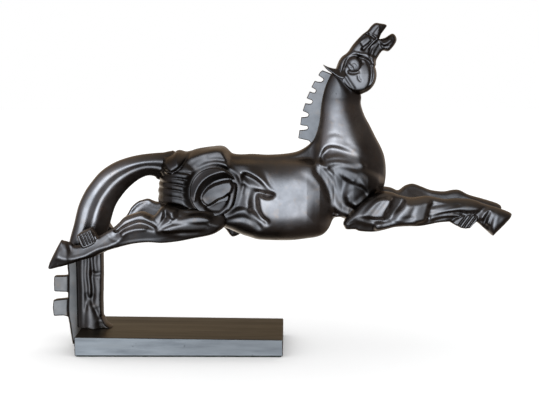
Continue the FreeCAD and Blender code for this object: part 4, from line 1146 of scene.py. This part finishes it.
# ---------------------------------------------------------------- the statue
def build_statue():
    """Every piece of the statue, with its material."""
    # The statue's patina carries painted highlights and painted shade, with handling wear.
    statue = bronze("bronze_patina_painted_light", (0.094, 0.083, 0.077), (0.21, 0.19, 0.175), (0.27, 0.42),
                    wear_and_light_zones=WEAR_AND_PAINTED_LIGHT)
    crest = bronze("bronze_plate", (0.090, 0.081, 0.075), (0.20, 0.185, 0.17), (0.30, 0.42),
                   pits=0.4, chasing=0.5)
    # The blade and the column get darker copies of the patina, which is painted shade; the blade is
    # darkened further over its side, most near its front against the column, as painted shade in the
    # valley between them.
    blade = bronze("bronze_blade", (0.070, 0.061, 0.054), (0.16, 0.14, 0.12), (0.26, 0.40),
                   wear_and_light_zones=[((-137, 66), (13, 120), -0.30)])
    dark = bronze("bronze_column", (0.050, 0.043, 0.039), (0.12, 0.10, 0.085), (0.28, 0.42),
                  pits=1.6, chasing=1.2)
    base = bronze("bronze_plinth", (0.0435, 0.0415, 0.041), (0.13, 0.12, 0.11), (0.30, 0.44),
                  pits=0.8, chasing=0.7, grain_along=0.14, turned=(0.66, 0.57, 0.46))
    pin = plain_metal("bronze_pin", (0.42, 0.30, 0.16), 0.30)
    steel = plain_metal("zinc_steel", (0.60, 0.60, 0.62), 0.28)

    for name, piece in sculpt_trunk().items():
        finish_piece(piece, statue, name.replace("_bronze", ""))
    for piece, node in zip(sculpt_scroll(), ("haunch_scroll_right", "haunch_scroll_left")):
        finish_piece(piece, statue, node)
    for piece, metal, record_slot, node in (
            (hind_leg("hind_leg_right_bronze", HIND_NEAR, -32, (0, 0)), statue, "bronze",
             "hind_leg_right"),
            (hind_leg("hind_leg_left_bronze", HIND_FAR, 32, (12, -3)), statue, "bronze",
             "hind_leg_left"),
            (fore_leg("foreleg_right_bronze", FORE_NEAR, -30, (0, 0)), statue, "bronze",
             "foreleg_right"),
            (fore_leg("foreleg_left_bronze", FORE_FAR, 30, (2, 4)), statue, "bronze",
             "foreleg_left"),
            (sculpt_arch(), statue, "bronze", "tail_arch"),
            (sculpt_column(), dark, "bronze", "tail_column"),
            (sculpt_blade(), blade, "bronze", "tail_blade"),
            (sculpt_head(), statue, "bronze", "head"),
            (sculpt_ear("ear_right_bronze", -1), statue, "bronze", "ear_right"),
            (sculpt_ear("ear_left_bronze", 1), statue, "bronze", "ear_left"),
            (sculpt_mane(), crest, "bronze_plate", "mane_crest")):
        finish_piece(piece, metal, node)

    kept = {"plinth": base, "felt_pad": felt(), "column_studs": steel, "stud_washers": steel,
            "stud_nuts": steel, "blade_screws": steel, "tail_pin": pin, "head_pin": pin,
            "leg_pins": pin}
    for node, material in kept.items():
        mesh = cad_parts[node].data
        for i in range(len(mesh.materials)):
            mesh.materials[i] = material


# ---------------------------------------------------------------- stage, light and camera
def build_stage():
    """A wide pale floor that metal doesn't mirror."""
    bpy.ops.mesh.primitive_plane_add(size=12.0)
    floor = bpy.context.object
    floor.name = "floor"
    material = bpy.data.materials.new("pale_floor")
    material.use_nodes = True
    shader = material.node_tree.nodes["Principled BSDF"]
    shader.inputs["Base Color"].default_value = (0.93, 0.93, 0.93, 1)
    shader.inputs["Roughness"].default_value = 0.9
    shader.inputs["Specular IOR Level"].default_value = 0.0
    floor.data.materials.append(material)
    floor.visible_glossy = False


# The studio's soft lights: direction, spread in degrees, colour and strength.
LIGHTS = {"front": ((-0.22, -1.0, -0.02), 28, (0.82, 1.02, 1.26), 5.9),
          "left": ((-1.0, -0.35, 0.45), 30, (0.85, 0.97, 1.20), 0.60),
          "side": ((1.0, 0.75, 0.05), 25, (0.92, 0.97, 1.05), 0.8),
          "overhead": ((0.05, 0.15, 1.0), 34, (1.0, 0.95, 0.84), 0.31),
          "rear": ((-0.42, 1.0, -0.42), 24, (0.9, 1.0, 1.1), 2.3)}
BACKDROP = (1.0, 0.86, 0.66), 0.27       # colour and strength
FILL = (1.0, 0.84, 0.74), 0.10           # the same from all round
ROOM_ON_SURFACES = 1.3                   # strength of the room for diffuse rays; the camera sees 1


def build_world():
    """A white room for the floor and backdrop.  Metal sees a studio: one very large soft light in
    front, four weaker ones, a dim warm backdrop and a faint fill from all round."""
    world = bpy.data.worlds.new("studio")
    bpy.context.scene.world = world
    world.use_nodes = True
    n = Nodes(world.node_tree)
    out = world.node_tree.nodes["World Output"]
    room = world.node_tree.nodes["Background"]
    room.inputs["Color"].default_value = (1, 1, 1, 1)
    ray = n.add("ShaderNodeLightPath").outputs
    n.tree.links.new(n.range(ray["Is Diffuse Ray"], 0.0, 1.0, 1.0, ROOM_ON_SURFACES),
                     room.inputs["Strength"])
    toward = n.add("ShaderNodeTexCoord").outputs["Generated"]
    parts = n.add("ShaderNodeSeparateXYZ", {0: toward}).outputs

    def lobe(direction, spread):
        """1 along a direction, dying away over the spread."""
        axis = tuple(Vector(direction).normalized())
        dot = n.add("ShaderNodeVectorMath", {0: toward, 1: axis}, operation="DOT_PRODUCT")
        sharp = 1 / (1 - math.cos(math.radians(spread)))
        return n.math("EXPONENT", n.math("MULTIPLY", n.math("SUBTRACT", dot.outputs["Value"], 1.0),
                                         sharp))

    def light(factor, colour, strength):
        return n.vector("MULTIPLY", n.grey(factor), tuple(c * strength for c in colour))

    lit = [light(lobe(direction, spread), colour, strength)
                 for direction, spread, colour, strength in LIGHTS.values()]
    backdrop = n.math("MULTIPLY", n.range(parts["Y"], 0.2, 0.9),
                      n.range(parts["Z"], -0.15, 0.15, 0.1, 1.0))
    lit += [light(backdrop, *BACKDROP), light(1.0, *FILL)]
    total = lit[0]
    for part in lit[1:]:
        total = n.vector("ADD", total, part)
    seen = n.add("ShaderNodeBackground", {"Color": total})
    mixed = n.add("ShaderNodeMixShader", {0: ray["Is Glossy Ray"], 1: room.outputs[0],
                                          2: seen.outputs[0]})
    n.tree.links.new(mixed.outputs[0], out.inputs["Surface"])


# The viewpoint: 1.5 m in front of the statue, about as high as its head, looking slightly down.
CAMERA_AT = (0.14033, -1.5, 0.38037)                         # m
CAMERA_PITCH, CAMERA_YAW, CAMERA_ROLL = 0.12787, 0.01825, -0.00276      # radians
SENSOR_WIDTH, LENS = 36.0, 79.22                             # mm


def build_camera():
    """The camera of the photograph."""
    pitch, yaw, turn = CAMERA_PITCH, CAMERA_YAW, CAMERA_ROLL
    forward = Vector((-math.sin(yaw) * math.cos(pitch), math.cos(yaw) * math.cos(pitch),
                      -math.sin(pitch)))
    right = Vector((math.cos(yaw), math.sin(yaw), 0))
    up = right.cross(forward)
    across = right * math.cos(turn) + up * math.sin(turn)
    upright = up * math.cos(turn) - right * math.sin(turn)
    data = bpy.data.cameras.new("camera")
    data.sensor_width = SENSOR_WIDTH
    data.lens = LENS
    camera = bpy.data.objects.new("camera", data)
    axes = Matrix((across, upright, -forward)).transposed().to_4x4()
    camera.matrix_world = Matrix.Translation(CAMERA_AT) @ axes
    bpy.context.scene.collection.objects.link(camera)
    bpy.context.scene.camera = camera


build_statue()
build_stage()
build_world()
build_camera()
bpy.context.scene.view_settings.view_transform = "Standard"
